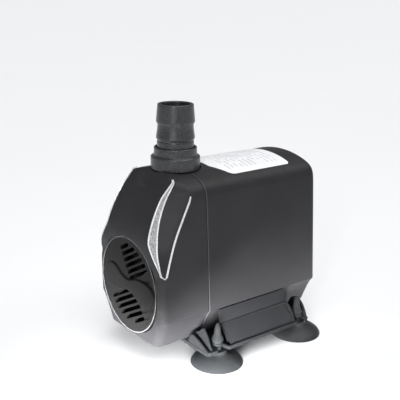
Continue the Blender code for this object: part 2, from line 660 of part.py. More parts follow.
def build_motor(steel, copper, plastic, resin_material):
    core = prism("stator_core", stator_outline(), STATOR_Y0, STATOR_Y1, steel, "Y")
    for word, side in (("right", 1), ("left", -1)):
        low = min(side * LEG_IN, side * LEG_OUT)
        high = max(side * LEG_IN, side * LEG_OUT)
        rim = rounded_rect(low - COIL_BUILD, STATOR_Y0 - COIL_BUILD, high + COIL_BUILD,
                           STATOR_Y1 + COIL_BUILD, 4.0)
        bobbin = prism(f"bobbin_{word}", rim, COIL_Z0, COIL_Z1, plastic)
        leg = box(f"tool_{word}_leg", (low - GAP, STATOR_Y0 - GAP, COIL_Z0 - 2),
                  (high + GAP, STATOR_Y1 + GAP, COIL_Z1 + 2), plastic)
        tube = GAP + BOBBIN_WALL
        channel = prism(f"tool_{word}_channel",
                        rounded_rect(low - 20, STATOR_Y0 - 20, high + 20, STATOR_Y1 + 20, 4.0),
                        COIL_Z0 + BOBBIN_WALL, COIL_Z1 - BOBBIN_WALL, plastic)
        keep = prism(f"tool_{word}_tube", rounded_rect(low - tube, STATOR_Y0 - tube, high + tube,
                                                       STATOR_Y1 + tube, 1.0),
                     COIL_Z0 - 1, COIL_Z1 + 1, plastic)
        cut(channel, keep)
        cut(bobbin, channel)
        cut(bobbin, leg)
        reach = COIL_BUILD - 0.6
        coil = prism(f"coil_{word}", rounded_rect(low - reach, STATOR_Y0 - reach, high + reach,
                                                  STATOR_Y1 + reach, 4.0),
                     COIL_Z0 + BOBBIN_WALL + GAP, COIL_Z1 - BOBBIN_WALL - GAP, copper)
        inner = prism(f"tool_{word}_inner",
                      rounded_rect(low - tube - GAP, STATOR_Y0 - tube - GAP, high + tube + GAP,
                                   STATOR_Y1 + tube + GAP, 1.0), COIL_Z0 - 1, COIL_Z1 + 1, copper)
        cut(coil, inner)
    front = BULKHEAD_Y + BULKHEAD_T + GAP
    resin = loft("resin_fill", [body_ring(front, WALL + 1.2 + GAP), body_ring(60.0, WALL + 1.2 + GAP)],
                 resin_material)
    void = prism("tool_resin_core", stator_outline(GAP), front - 2, STATOR_Y1 + GAP, resin_material, "Y")
    cut(resin, void)
    for side in (1, -1):
        low = min(side * LEG_IN, side * LEG_OUT) - COIL_BUILD - GAP
        high = max(side * LEG_IN, side * LEG_OUT) + COIL_BUILD + GAP
        pocket = box(f"tool_resin_coil_{side + 1}", (low, front - 2, COIL_Z0 - GAP),
                     (high, STATOR_Y1 + COIL_BUILD + GAP, COIL_Z1 + GAP), resin_material)
        cut(resin, pocket)
    well = cylinder("tool_resin_well", WELL_R + GAP, (0, DIAL_Z), front - 2, WELL_END_Y + 2.0 + GAP,
                    resin_material, "Y", 40)
    cut(resin, well)
    return core, resin


def rounded_rect(x0, y0, x1, y1, radius, steps=4):
    points = []
    for cx, cy, a0 in ((x1 - radius, y0 + radius, -90), (x1 - radius, y1 - radius, 0),
                       (x0 + radius, y1 - radius, 90), (x0 + radius, y0 + radius, 180)):
        for k in range(steps + 1):
            a = math.radians(a0 + 90 * k / steps)
            points.append((cx + radius * math.cos(a), cy + radius * math.sin(a)))
    return points


FLANGE = ((44.8, 26.1), (43.5, 25.0), (41.2, 34.3), (42.6, 35.7))    # web from the panel to the body


def build_foot(plastic):
    outline = [(PLATE_HALF - 2, PLATE_Y0), (PLATE_HALF, PLATE_Y0 + 2), (PLATE_HALF, PLATE_Y1 - 2),
               (PLATE_HALF - 2, PLATE_Y1)]
    outline += [(-x, y) for x, y in reversed(outline)]
    foot = prism("base_foot", outline, PLATE_Z0, PLATE_Z1, plastic)
    z0 = PLATE_Z0 + 0.5
    slant = [(53.0, z0), (56.2, z0), (56.0, PLATE_Z1), (55.2, 13.2), (50.3, 19.6), (44.9, 25.9),
             (43.4, 25.3), (42.9, 24.4), (48.2, 18.6), (52.4, 12.6)]
    gusset = [(36.6, z0), (56.2, z0), (56.0, PLATE_Z1), (55.2, 13.8), (53.8, 17.5), (51.0, 22.0),
              (48.2, 24.5), (45.0, 26.1), (41.5, 25.8), (38.4, 24.0), (36.6, 21.0), (35.4, 18.6), (34.0, 14.0)]
    front_fin = [(36.6, z0), (56.2, z0), (56.0, PLATE_Z1), (54.6, 13.9), (50.3, 21.5), (46.2, 27.2),
                 (44.6, 26.6), (41.0, 23.0), (36.6, 21.0), (35.4, 18.6), (34.0, 14.0)]
    low_gusset = [(34.4, z0), (56.2, z0), (56.0, PLATE_Z1), (50.0, 16.6),
                  (44.0, 19.4), (38.5, 21.0), (35.6, 18.6), (34.0, 14.0)]
    for side in (1, -1):
        panel = prism(f"tool_panel_{side + 1}", [(side * x, z) for x, z in slant], PANEL_Y0, PANEL_Y1,
                      plastic, "Y")
        join(foot, panel)
        flange = prism(f"tool_flange_{side + 1}", [(side * x, z) for x, z in FLANGE], PANEL_Y0 + 0.2,
                       PANEL_Y1 - 0.2, plastic, "Y")
        join(foot, flange)
        fins = ((front_fin, -41.9), (gusset, PANEL_Y0), (gusset, PANEL_Y1 - 1.6), (gusset, PLATE_Y1 - 1.9))
        for k, (profile, y) in enumerate(fins):
            fin = prism(f"tool_fin_{side + 1}_{k}", [(side * x, z) for x, z in profile], y, y + 1.6,
                        plastic, "Y")
            join(foot, fin)
        low_fin = prism(f"tool_low_fin_{side + 1}", [(side * x, z) for x, z in low_gusset],
                        PLATE_Y0 + 0.3, PLATE_Y0 + 1.9, plastic, "Y")
        join(foot, low_fin)
        for k, y in enumerate(CUP_Y):
            notch = [(CUP_X, y - 3.5), (CUP_X + 3.0, y - 3.3), (PLATE_HALF + 1, y - 5.0),
                     (PLATE_HALF + 1, y + 5.0), (CUP_X + 3.0, y + 3.3), (CUP_X, y + 3.5),
                     (CUP_X - 2.5, y + 2.5), (CUP_X - 3.5, y), (CUP_X - 2.5, y - 2.5)]
            tool = prism(f"tool_notch_{side + 1}_{k}", [(side * x, v) for x, v in notch], 8, 15, plastic)
            cut(foot, tool)
    return foot


def build_cups(rubber):
    profile = [(0.0, 4.6), (9.0, 3.4), (15.0, 1.2), (17.3, 0.0), (CUP_R, 0.0), (CUP_R - 0.1, 0.9),
               (17.0, 3.6), (13.0, 6.0), (8.8, 7.6), (6.6, 8.4), (6.2, 10.0), (3.0, 10.1), (3.0, 13.7),
               (4.4, 13.9), (4.4, 15.0), (3.5, 15.4), (4.6, 17.4), (3.6, 20.2), (2.6, 21.6), (2.1, 27.0),
               (0.9, 29.9), (0.0, 30.3)]
    first = None
    names = ("suction_cup_front_right", "suction_cup_rear_right", "suction_cup_front_left",
             "suction_cup_rear_left")
    spots = [(side * CUP_X, y) for side in (1, -1) for y in CUP_Y]
    for name, (x, y) in zip(names, spots):
        if first is None:
            first = revolve(name, profile, rubber, 18)
            first.location = (x * MM, y * MM, 0.0)
            continue
        copy_mesh_object(name, first, Matrix.Translation((x * MM, y * MM, 0.0)))


def build_screws(steel):
    profile = [(0.0, -6.2), (1.5, -6.2), (1.5, 0.0), (3.0, 0.0), (3.0, 1.0), (2.2, 1.9), (0.0, 2.1)]
    first = None
    for k in range(4):
        a = math.radians(45 + 90 * k)
        spot = Vector((SCREW_R * math.cos(a) * MM, (BULKHEAD_Y - 2 * GAP - FLANGE_T) * MM,
                       (DIAL_Z + SCREW_R * math.sin(a)) * MM))
        matrix = Matrix.Translation(spot) @ Matrix.Rotation(math.radians(90), 4, "X")
        name = f"chamber_screw_{k + 1}"
        if first is None:
            first = revolve(name, profile, steel, 14)
            first.matrix_world = matrix
            continue
        copy_mesh_object(name, first, matrix)


def build_label(paper):
    """Thin printed sheet that follows the crowned roof."""
    stations = (-27.5, -22.0, -15.0, -7.5, 0.0, 7.5, 15.0, 22.0, 27.5)
    roof = [(x, z) for x, z in body_half() if z > SHOULDER_Z]

    def height(x):
        x = abs(x)
        for (x0, z0), (x1, z1) in zip(roof, roof[1:]):
            if x1 <= x <= x0:
                return z0 + (z1 - z0) * (x0 - x) / (x0 - x1)
        return CROWN_Z

    verts = []
    for x in stations:
        near = -12.6 if abs(x) < 12 else -12.6 + 0.62 * (abs(x) - 12)
        far = 54.6 if abs(x) < 25 else 52.8
        for lift in (0.3, 0.6):
            verts.append((x, near, height(x) + lift))
            verts.append((x, far, height(x) + lift))
    faces = []
    for i in range(len(stations) - 1):
        a = i * 4
        b = a + 4
        faces += [(a, a + 1, b + 1, b), (a + 2, b + 2, b + 3, a + 3), (a, b, b + 2, a + 2),
                  (a + 1, a + 3, b + 3, b + 1)]
    last = (len(stations) - 1) * 4
    faces += [(0, 2, 3, 1), (last, last + 1, last + 3, last + 2)]
    return add_object("rating_label", verts, faces, paper)


def build_gland(rubber):
    rear = -GRIP_FRONT_Y
    return revolve("cable_gland", [(3.4, 66.0), (7.4, 66.0), (7.4, REAR_Y - 3.6 - GAP),
                                   (6.0, REAR_Y - 3.6 - GAP), (6.0, REAR_Y - 0.6 + GAP),
                                   (7.6, REAR_Y - 0.6 + GAP), (7.2, REAR_Y + 2.0), (5.2, rear),
                                   (3.4, rear)], rubber, 24, "Y", (0, 0, DIAL_Z))


def main():
    clear_scene()
    shell = make_material("charcoal_plastic", (0.035, 0.035, 0.038), 0.42)
    cover = make_material("cover_plastic", (0.045, 0.045, 0.048), 0.40)
    dial = make_material("dial_plastic", (0.03, 0.03, 0.032), 0.45)
    inner = make_material("chamber_plastic", (0.05, 0.05, 0.055), 0.5)
    silver = make_material("silver_trim", (0.62, 0.62, 0.63), 0.35, 0.9)
    rubber = make_material("cup_rubber", (0.03, 0.03, 0.03), 0.6)
    steel = make_material("lamination_steel", (0.45, 0.45, 0.46), 0.45, 1.0)
    screw = make_material("screw_steel", (0.6, 0.6, 0.61), 0.3, 1.0)
    copper = make_material("coil_copper", (0.55, 0.24, 0.11), 0.4, 0.8)
    resin = make_material("potting_resin", (0.06, 0.06, 0.065), 0.5)
    ceramic = make_material("white_ceramic", (0.85, 0.84, 0.82), 0.25)
    magnet = make_material("ferrite_magnet", (0.12, 0.12, 0.125), 0.5, 0.3)
    vane = make_material("impeller_plastic", (0.75, 0.75, 0.73), 0.45)
    paper = make_material("label_sheet", (0.85, 0.85, 0.85), 0.5)
    nut = make_material("nut_plastic", (0.05, 0.05, 0.053), 0.5)
    build_housing(shell)
    build_rear_cover(shell)
    build_front_cover(cover)
    build_dial(dial)
    build_trim("trim_right", 1, silver)
    build_trim("trim_left", -1, silver)
    build_chamber(inner)
    build_outlet(nut, rubber)
    build_rotor(vane, magnet, ceramic, rubber)
    build_motor(steel, copper, vane, resin)
    build_foot(shell)
    build_cups(rubber)
    build_screws(screw)
    build_label(paper)
    build_gland(rubber)


main()
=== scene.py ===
"""Looks of the fountain submersible pump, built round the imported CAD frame.

Shape constants are millimetres and MM converts. New meshes are made in the row frame, so each
object sits at the origin and rides on the CAD body of the node that it stands for.
"""
import json
import math

import bmesh
import bpy
import numpy as np
from mathutils import Matrix, Vector


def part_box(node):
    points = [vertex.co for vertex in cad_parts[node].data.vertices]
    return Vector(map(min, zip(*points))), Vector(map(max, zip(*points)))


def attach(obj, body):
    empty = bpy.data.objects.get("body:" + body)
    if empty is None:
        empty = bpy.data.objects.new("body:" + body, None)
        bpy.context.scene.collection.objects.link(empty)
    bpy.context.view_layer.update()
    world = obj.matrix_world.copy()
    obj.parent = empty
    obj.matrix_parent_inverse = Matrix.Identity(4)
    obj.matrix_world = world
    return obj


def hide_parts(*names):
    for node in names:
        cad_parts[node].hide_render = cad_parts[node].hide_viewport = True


MM = 0.001

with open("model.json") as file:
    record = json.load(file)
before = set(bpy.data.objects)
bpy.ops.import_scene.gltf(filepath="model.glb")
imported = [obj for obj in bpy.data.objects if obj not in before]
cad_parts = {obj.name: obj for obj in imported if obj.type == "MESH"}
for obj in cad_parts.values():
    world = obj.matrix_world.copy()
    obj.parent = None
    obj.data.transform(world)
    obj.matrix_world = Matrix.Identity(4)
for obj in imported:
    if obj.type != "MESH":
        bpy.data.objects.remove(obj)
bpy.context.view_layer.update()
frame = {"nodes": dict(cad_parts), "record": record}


def box_mm(node):
    """Lowest and highest corner of a CAD node, in millimetres."""
    low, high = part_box(node)
    return np.array(low) / MM, np.array(high) / MM


COVER_HIGH = box_mm("front_cover")[1]
HOUSING_LOW, HOUSING_HIGH = box_mm("motor_housing")
DIAL_LOW, DIAL_HIGH = box_mm("inlet_dial")
NUT_LOW, NUT_HIGH = box_mm("union_nut")
ADAPTER_HIGH = box_mm("hose_adapter")[1]
FOOT_LOW, FOOT_HIGH = box_mm("base_foot")
LABEL_LOW, LABEL_HIGH = box_mm("rating_label")
GLAND_HIGH = box_mm("cable_gland")[1]

GAP = 0.3
SEAM_Y = COVER_HIGH[1]
REAR_Y = HOUSING_HIGH[1]
BODY_BOTTOM = HOUSING_LOW[2]
CROWN_Z = HOUSING_HIGH[2]
DIAL_R = (DIAL_HIGH[0] - DIAL_LOW[0]) / 2
DIAL_Z = (DIAL_HIGH[2] + DIAL_LOW[2]) / 2
DIAL_FACE_Y = DIAL_LOW[1] + 2.1
OUTLET_Y = (NUT_LOW[1] + NUT_HIGH[1]) / 2
NUT_R = (NUT_HIGH[0] - NUT_LOW[0]) / 2
WALL = 2.4
DECK_Z = 133.2

# Body section, right half from the bottom up: x, z, corner rounding
SMOOTH = 99.0
SECTION = ((0.0, 13.7, 0.0), (15.0, 13.7, 0.0), (30.5, 13.7, 1.6), (33.1, 20.0, SMOOTH), (36.1, 27.0, SMOOTH),
           (39.4, 33.4, SMOOTH), (42.0, 36.3, 0.9), (40.6, 56.3, SMOOTH), (39.2, 76.3, SMOOTH),
           (37.8, 97.0, SMOOTH), (36.3, 118.0, SMOOTH), (35.5, 122.2, SMOOTH), (34.0, 125.4, SMOOTH),
           (31.6, 127.9, SMOOTH), (28.2, 129.9, SMOOTH), (22.0, 132.1, SMOOTH), (15.0, 133.8, SMOOTH),
           (7.5, 134.9, SMOOTH), (0.0, 135.2, SMOOTH))

# Front face: depth by height, and the edges of the leaf facets (z, x, y)
FACE_LEAN = ((13.7, -72.0), (36.3, -73.8), (62.0, -75.3), (80.0, -75.7), (88.0, -76.0), (92.0, -75.6),
             (96.0, -74.6), (104.0, -71.8), (112.0, -68.0), (120.0, -63.2), (128.0, -56.8),
             (132.0, -53.2), (135.2, -50.0))
LEAF_LINE = ((68.3, 39.8, -70.6), (81.0, 38.9, -66.7), (95.0, 37.9, -61.5), (109.0, 36.9, -54.3),
             (122.4, 35.6, -46.9))
BLADE_INNER = ((68.3, 39.2, -72.2), (76.0, 38.3, -73.2), (80.0, 36.8, -73.1), (84.0, 34.9, -72.6),
               (88.0, 33.1, -71.7), (92.0, 31.4, -70.5), (96.0, 30.3, -69.6), (104.0, 28.9, -67.5),
               (112.0, 27.7, -64.3), (120.0, 26.7, -59.9), (128.0, 25.8, -54.1), (132.0, 25.3, -51.3))
BLADE_OUTER = ((68.3, 38.9, -72.9), (72.0, 38.4, -73.9), (76.0, 37.0, -74.6), (80.0, 34.6, -75.4),
               (84.0, 31.8, -75.8), (88.0, 29.0, -75.9), (92.0, 26.6, -75.5), (96.0, 25.6, -74.5),
               (104.0, 24.9, -71.7), (112.0, 24.2, -67.9), (120.0, 23.6, -63.1), (128.0, 23.3, -56.7),
               (132.0, 23.6, -53.1))
LEAF_START_Z = 64.3
LEAF_BLEND = 8.0
CORNER_R = 6.0
CHIN = (3.0, 128.0, 10.0, 4.2)


# ---------------------------------------------------------------- curves

def pchip(xs, ys):
    """Monotone cubic through points, as a function that holds its ends constant."""
    xs = np.asarray(xs, float)
    ys = np.asarray(ys, float)
    step = np.diff(xs)
    slope = np.diff(ys) / step
    tangent = np.zeros(len(xs))
    for i in range(1, len(xs) - 1):
        if slope[i - 1] * slope[i] > 0:
            w1 = 2 * step[i] + step[i - 1]
            w2 = step[i] + 2 * step[i - 1]
            tangent[i] = (w1 + w2) / (w1 / slope[i - 1] + w2 / slope[i])
    tangent[0] = slope[0]
    tangent[-1] = slope[-1]

    def at(x):
        x = float(np.clip(x, xs[0], xs[-1]))
        i = int(np.clip(np.searchsorted(xs, x) - 1, 0, len(step) - 1))
        t = (x - xs[i]) / step[i]
        rise = 3 * t * t - 2 * t ** 3
        return ((1 - rise) * ys[i] + rise * ys[i + 1]
                + step[i] * ((t ** 3 - 2 * t * t + t) * tangent[i] + (t ** 3 - t * t) * tangent[i + 1]))

    return at


def columns(table):
    rows = np.array(table)
    return [pchip(rows[:, 0], rows[:, k]) for k in range(1, rows.shape[1])]


def rounded(points, radii, steps=5, closed=False):
    """Polyline with each corner turned into a short curve that starts radius before it."""
    points = [np.asarray(p, float) for p in points]
    count = len(points)
    out = []
    for i, p in enumerate(points):
        if not closed and i in (0, count - 1):
            out.append(p)
            continue
        before = points[i - 1] - p
        after = points[(i + 1) % count] - p
        reach_in = min(radii[i], 0.49 * np.linalg.norm(before))
        reach_out = min(radii[i], 0.49 * np.linalg.norm(after))
        if radii[i] <= 0:
            out.append(p)
            continue
        a = p + before / np.linalg.norm(before) * reach_in
        b = p + after / np.linalg.norm(after) * reach_out
        for k in range(steps + 1):
            t = k / steps
            out.append((1 - t) ** 2 * a + 2 * t * (1 - t) * p + t * t * b)
    return out


def body_loop(inset=0.0):
    """Closed fine section of the body, moved in by inset, as (x, z) points."""
    half = [np.array(p[:2]) for p in SECTION]
    radii = [p[2] for p in SECTION]
    moved = []
    for i, p in enumerate(half):
        before = half[i - 1] if i > 0 else half[1] * (-1, 1)
        after = half[i + 1] if i < len(half) - 1 else half[-2] * (-1, 1)
        along = (after - before) / np.linalg.norm(after - before)
        q = p + inset * np.array((-along[1], along[0]))
        if p[1] < BODY_BOTTOM + 0.1:
            q = np.array((max(p[0] - inset * 0.75 * (p[0] > 20), 0.0), BODY_BOTTOM + inset))
        moved.append(q)
    moved[-1][0] = 0.0
    loop = moved + [q * (-1, 1) for q in moved[-2:0:-1]]
    radii = radii + radii[-2:0:-1]
    return rounded(loop, radii, 5, closed=True)


HALF_CURVE = np.array([p for p in body_loop() if p[0] > 0 and p[1] > BODY_BOTTOM + 0.4])
HALF_CURVE = HALF_CURVE[np.argsort(HALF_CURVE[:, 1])]


def side_half(z):
    return float(np.interp(z, HALF_CURVE[:, 1], HALF_CURVE[:, 0]))


face_depth = columns(FACE_LEAN)[0]
line_y = columns(LEAF_LINE)[1]
inner_x, inner_y = columns(BLADE_INNER)
outer_x, outer_y = columns(BLADE_OUTER)


def between(a, b, count):
    """Points strictly between two points."""
    return [a + (b - a) * (k + 1) / (count + 1) for k in range(count)]


def leaf_corners(z):
    """The facet's outer edge, and the blade's inner and outer edge, at height z."""
    half = max(side_half(z), 0.5)
    face = face_depth(z)
    line = np.array((half, max(line_y(z), face + 0.4)))
    inner = np.array((min(inner_x(z), half - 1.0), max(inner_y(z), face + 0.2)))
    outer = np.array((min(outer_x(z), inner[0] - 0.3), max(outer_y(z), face + 0.1)))
    return line, inner, outer


def plan_half(z, back):
    """Right half of the front cover's outline at height z, from the seam to the middle of the face."""
    half = max(side_half(z), 0.5)
    face = face_depth(z)
    arc = []
    count = 27
    for k in range(count):
        a = math.radians(90.0 * k / (count - 1))
        arc.append(np.array((half - CORNER_R + CORNER_R * math.cos(a),
                             face + CORNER_R - CORNER_R * math.sin(a))))
    corner = arc
    if z > LEAF_START_Z:
        line, inner, outer = leaf_corners(z)
        leaf = rounded([line + (0, 3), line, inner, outer, outer * (0.7, 1)], [0, 0.7, 0.7, 0.7, 0], 4)[1:-1]
        leaf = (leaf[:5] + between(leaf[4], leaf[5], 8) + leaf[5:10]
                + between(leaf[9], leaf[10], 4) + leaf[10:])
        t = min(1.0, (z - LEAF_START_Z) / LEAF_BLEND)
        corner = [a + t * (b - a) for a, b in zip(arc, leaf)]
    edge = [np.array(p) for p in ((half - 0.45, back), (half - 0.13, back - 0.13), (half, back - 0.45),
                                  (half, back - 1.2))]
    side = edge + between(edge[-1], corner[0], 6)
    last = corner[-1]
    front = []
    for k in range(1, 13):
        t = 1 - k / 12
        front.append(np.array((last[0] * t, face + (last[1] - face) * t * t)))
    depth, height, wide, tall = CHIN
    for p in front + corner[-12:]:
        p[1] -= depth * math.exp(-(p[0] / wide) ** 2 - ((z - height) / tall) ** 2)
    return side + corner + front


def face_y(x, z):
    """Depth of the front surface at a point of the front view."""
    front = np.array(plan_half(z, SEAM_Y)[10:])[::-1]
    return float(np.interp(abs(x), front[:, 0], front[:, 1]))


# ---------------------------------------------------------------- meshes

def add_mesh(name, verts, faces, sharp=32.0):
    mesh = bpy.data.meshes.new(name)
    mesh.from_pydata([tuple(float(c) * MM for c in v) for v in verts], [], faces)
    obj = bpy.data.objects.new(name, mesh)
    bpy.context.scene.collection.objects.link(obj)
    settle(obj, sharp)
    return obj


def settle(obj, sharp=32.0):
    """Cleans the mesh, turns its faces outwards and shades it."""
    bm = bmesh.new()
    bm.from_mesh(obj.data)
    bmesh.ops.remove_doubles(bm, verts=bm.verts, dist=1e-6)
    bmesh.ops.recalc_face_normals(bm, faces=bm.faces)
    bm.to_mesh(obj.data)
    bm.free()
    obj.data.shade_smooth()
    obj.data.set_sharp_from_angle(angle=math.radians(sharp))


def strips(rings, closed_ends=True, wrap=False):
    size = len(rings[0])
    faces = []
    pairs = [(i, i + 1) for i in range(len(rings) - 1)]
    if wrap:
        pairs.append((len(rings) - 1, 0))
    for a, b in pairs:
        for j in range(size):
            k = (j + 1) % size
            faces.append((a * size + j, a * size + k, b * size + k, b * size + j))
    if closed_ends and not wrap:
        faces.append(tuple(range(size)))
        faces.append(tuple(range((len(rings) - 1) * size, len(rings) * size)))
    return faces


def loft(name, rings, sharp=32.0, wrap=False):
    return add_mesh(name, [v for ring in rings for v in ring], strips(rings, True, wrap), sharp)


def turned(name, profile, centre, axis="Z", segments=96, sharp=32.0):
    """Solid of revolution of a closed (radius, height) loop that may touch the axis."""
    rings = []
    for j in range(segments):
        a = 2 * math.pi * j / segments
        ring = []
        for r, h in profile:
            x, y, z = r * math.cos(a), r * math.sin(a), h
            if axis == "Y":
                x, y, z = x, h, r * math.sin(a)
            ring.append((x + centre[0], y + centre[1], z + centre[2]))
        rings.append(ring)
    return loft(name, rings, sharp, wrap=True)


def rim_profile(points, radius=0.4, steps=4):
    """Closed turning profile with every corner off the axis rounded."""
    radii = [0.0 if p[0] < 1e-6 else (p[2] if len(p) > 2 else radius) for p in points]
    return rounded([p[:2] for p in points], radii, steps, closed=True)


def offset_loop(loop, distance):
    """Closed loop moved sideways, inwards for a counter-clockwise loop and a positive distance."""
    pts = np.array(loop, float)
    ahead = np.roll(pts, -1, axis=0) - pts
    ahead /= np.linalg.norm(ahead, axis=1)[:, None]
    behind = np.roll(ahead, 1, axis=0)
    normal = np.stack((-(ahead + behind)[:, 1], (ahead + behind)[:, 0]), axis=1)
    normal /= np.linalg.norm(normal, axis=1)[:, None]
    along = np.clip((normal * np.stack((-ahead[:, 1], ahead[:, 0]), axis=1)).sum(axis=1), 0.6, 1.0)
    return pts + normal * (distance / along)[:, None]


def counter_clockwise(loop):
    pts = np.array(loop, float)
    area = np.sum(pts[:, 0] * np.roll(pts[:, 1], -1) - np.roll(pts[:, 0], -1) * pts[:, 1])
    return pts if area > 0 else pts[::-1]


def plate(name, outer, holes, start, end, place, edge=0.4, both=True, sharp=32.0):
    """Flat part with rounded edges: an outline with holes, between two depths along its own normal."""
    bm = bmesh.new()
    loops = [(counter_clockwise(outer), 1.0)] + [(counter_clockwise(h), -1.0) for h in holes]
    direction = 1.0 if end > start else -1.0
    steps = 4
    levels = [(edge + 0.2, end)]
    for k in range(steps, -1, -1):
        a = math.radians(90.0 * k / steps)
        levels.append((edge * (1 - math.cos(a)), end - direction * edge * (1 - math.sin(a))))
    if both:
        for k in range(steps + 1):
            a = math.radians(90.0 * k / steps)
            levels.append((edge * (1 - math.cos(a)), start + direction * edge * (1 - math.sin(a))))
        levels.append((edge + 0.2, start))
    else:
        levels.append((0.0, start))
    caps = ([], [])
    for loop, sign in loops:
        rings = []
        for inset, depth in levels:
            moved = offset_loop(loop, inset * sign)
            rings.append([bm.verts.new([c * MM for c in place(u, v, depth)]) for u, v in moved])
        for a, b in zip(rings, rings[1:]):
            for j in range(len(a)):
                k = (j + 1) % len(a)
                bm.faces.new((a[j], a[k], b[k], b[j]))
        for cap, ring in zip(caps, (rings[0], rings[-1])):
            for j in range(len(ring)):
                cap.append(bm.edges.get((ring[j], ring[(j + 1) % len(ring)])))
    for cap in caps:
        bmesh.ops.triangle_fill(bm, use_beauty=True, use_dissolve=False, edges=cap)
    mesh = bpy.data.meshes.new(name)
    bm.to_mesh(mesh)
    bm.free()
    obj = bpy.data.objects.new(name, mesh)
    bpy.context.scene.collection.objects.link(obj)
    settle(obj, sharp)
    return obj


def facing_front(u, v, depth):
    return u, depth, v


def facing_up(u, v, depth):
    return u, v, depth


def block(name, low, high):
    outline = [(low[0], low[1]), (high[0], low[1]), (high[0], high[1]), (low[0], high[1])]
    rings = [[(x, y, z) for x, y in outline] for z in (low[2], high[2])]
    return loft(name, rings)


def circle(radius, centre, count, start=0.0, span=360.0):
    closed = span >= 360.0
    divisor = count if closed else count - 1
    return [(centre[0] + radius * math.cos(math.radians(start + span * k / divisor)),
             centre[1] + radius * math.sin(math.radians(start + span * k / divisor))) for k in range(count)]


def drum(name, radius, centre, start, end, count=64):
    """Plain cylinder along Y used as a cutter."""
    ring = circle(radius, centre, count, 180.0 / count)
    return loft(name, [[(x, y, z) for x, z in ring] for y in (start, end)])


def shape(target, steps, sharp=32.0):
    """Applies (operation, tool) steps as exact Booleans and removes the tools."""
    for operation, tool in steps:
        modifier = target.modifiers.new("cut", "BOOLEAN")
        modifier.operation = operation
        modifier.solver = "EXACT"
        modifier.object = tool
    bpy.context.view_layer.update()
    done = target.evaluated_get(bpy.context.evaluated_depsgraph_get())
    mesh = bpy.data.meshes.new_from_object(done)
    target.modifiers.clear()
    target.data = mesh
    for _, tool in steps:
        bpy.data.objects.remove(tool, do_unlink=True)
    settle(target, sharp)
    return target


CUT = "DIFFERENCE"
ADD = "UNION"


# ---------------------------------------------------------------- materials

class Paint:
    """Small helper that wires up one node material."""

    def __init__(self, name, colour, roughness, metallic=0.0, specular=0.5):
        self.material = bpy.data.materials.new(name)
        self.material.use_nodes = True
        self.tree = self.material.node_tree
        self.shader = self.tree.nodes["Principled BSDF"]
        self.shader.inputs["Base Color"].default_value = (*colour, 1.0)
        self.shader.inputs["Roughness"].default_value = roughness
        self.shader.inputs["Metallic"].default_value = metallic
        self.shader.inputs["Specular IOR Level"].default_value = specular
        self.colour = colour
        self.roughness = roughness
        self.place = self.add("ShaderNodeTexCoord").outputs["Object"]
        self.bumps = []

    def add(self, kind, **values):
        node = self.tree.nodes.new(kind)
        for key, value in values.items():
            setattr(node, key, value)
        return node

    def link(self, source, target):
        self.tree.links.new(source, target)

    def noise(self, size_mm, detail=2.0, stretch=(1, 1, 1)):
        """Noise whose blotches are about size_mm across."""
        mapping = self.add("ShaderNodeMapping")
        mapping.inputs["Scale"].default_value = [s / (size_mm * MM) for s in stretch]
        self.link(self.place, mapping.inputs["Vector"])
        node = self.add("ShaderNodeTexNoise")
        node.inputs["Scale"].default_value = 1.0
        node.inputs["Detail"].default_value = detail
        self.link(mapping.outputs["Vector"], node.inputs["Vector"])
        return node.outputs["Fac"]

    def ramp(self, source, low, high, out_low=0.0, out_high=1.0):
        node = self.add("ShaderNodeMapRange", interpolation_type="SMOOTHSTEP")
        node.inputs["From Min"].default_value = low
        node.inputs["From Max"].default_value = high
        node.inputs["To Min"].default_value = out_low
        node.inputs["To Max"].default_value = out_high
        self.link(source, node.inputs["Value"])
        return node.outputs["Result"]

    def maths(self, operation, a, b, *more):
        node = self.add("ShaderNodeMath", operation=operation)
        for socket, value in zip(node.inputs, (a, b, *more)):
            if isinstance(value, (int, float)):
                socket.default_value = value
            else:
                self.link(value, socket)
        return node.outputs["Value"]

    def tint(self, factor, colour):
        """Mixes another colour over what the base colour is so far."""
        node = self.add("ShaderNodeMix", data_type="RGBA")
        socket = self.shader.inputs["Base Color"]
        if socket.is_linked:
            self.link(socket.links[0].from_socket, node.inputs["A"])
        else:
            node.inputs["A"].default_value = socket.default_value
        node.inputs["B"].default_value = (*colour, 1.0)
        self.link(factor, node.inputs["Factor"])
        self.link(node.outputs["Result"], socket)

    def gloss(self, source, low, high):
        """Roughness that follows a noise between two values."""
        self.link(self.ramp(source, 0.3, 0.7, low, high), self.shader.inputs["Roughness"])

    def relief(self, source, depth_mm, strength=1.0):
        node = self.add("ShaderNodeBump")
        node.inputs["Strength"].default_value = strength
        node.inputs["Distance"].default_value = depth_mm * MM
        self.link(source, node.inputs["Height"])
        if self.bumps:
            self.link(self.bumps[-1], node.inputs["Normal"])
        self.bumps.append(node.outputs["Normal"])
        self.link(self.bumps[-1], self.shader.inputs["Normal"])

    def wear(self, colour, start=0.53, end=0.62, amount=0.5):
        """Lighter rubbed edges, broken up by a noise."""
        edge = self.ramp(self.add("ShaderNodeNewGeometry").outputs["Pointiness"], start, end, 0.0, amount)
        patches = self.ramp(self.noise(2.5), 0.35, 0.6, 0.35, 1.0)
        self.tint(self.maths("MULTIPLY", edge, patches), colour)


def scaled(colour, factor):
    return tuple(min(1.0, c * factor) for c in colour)


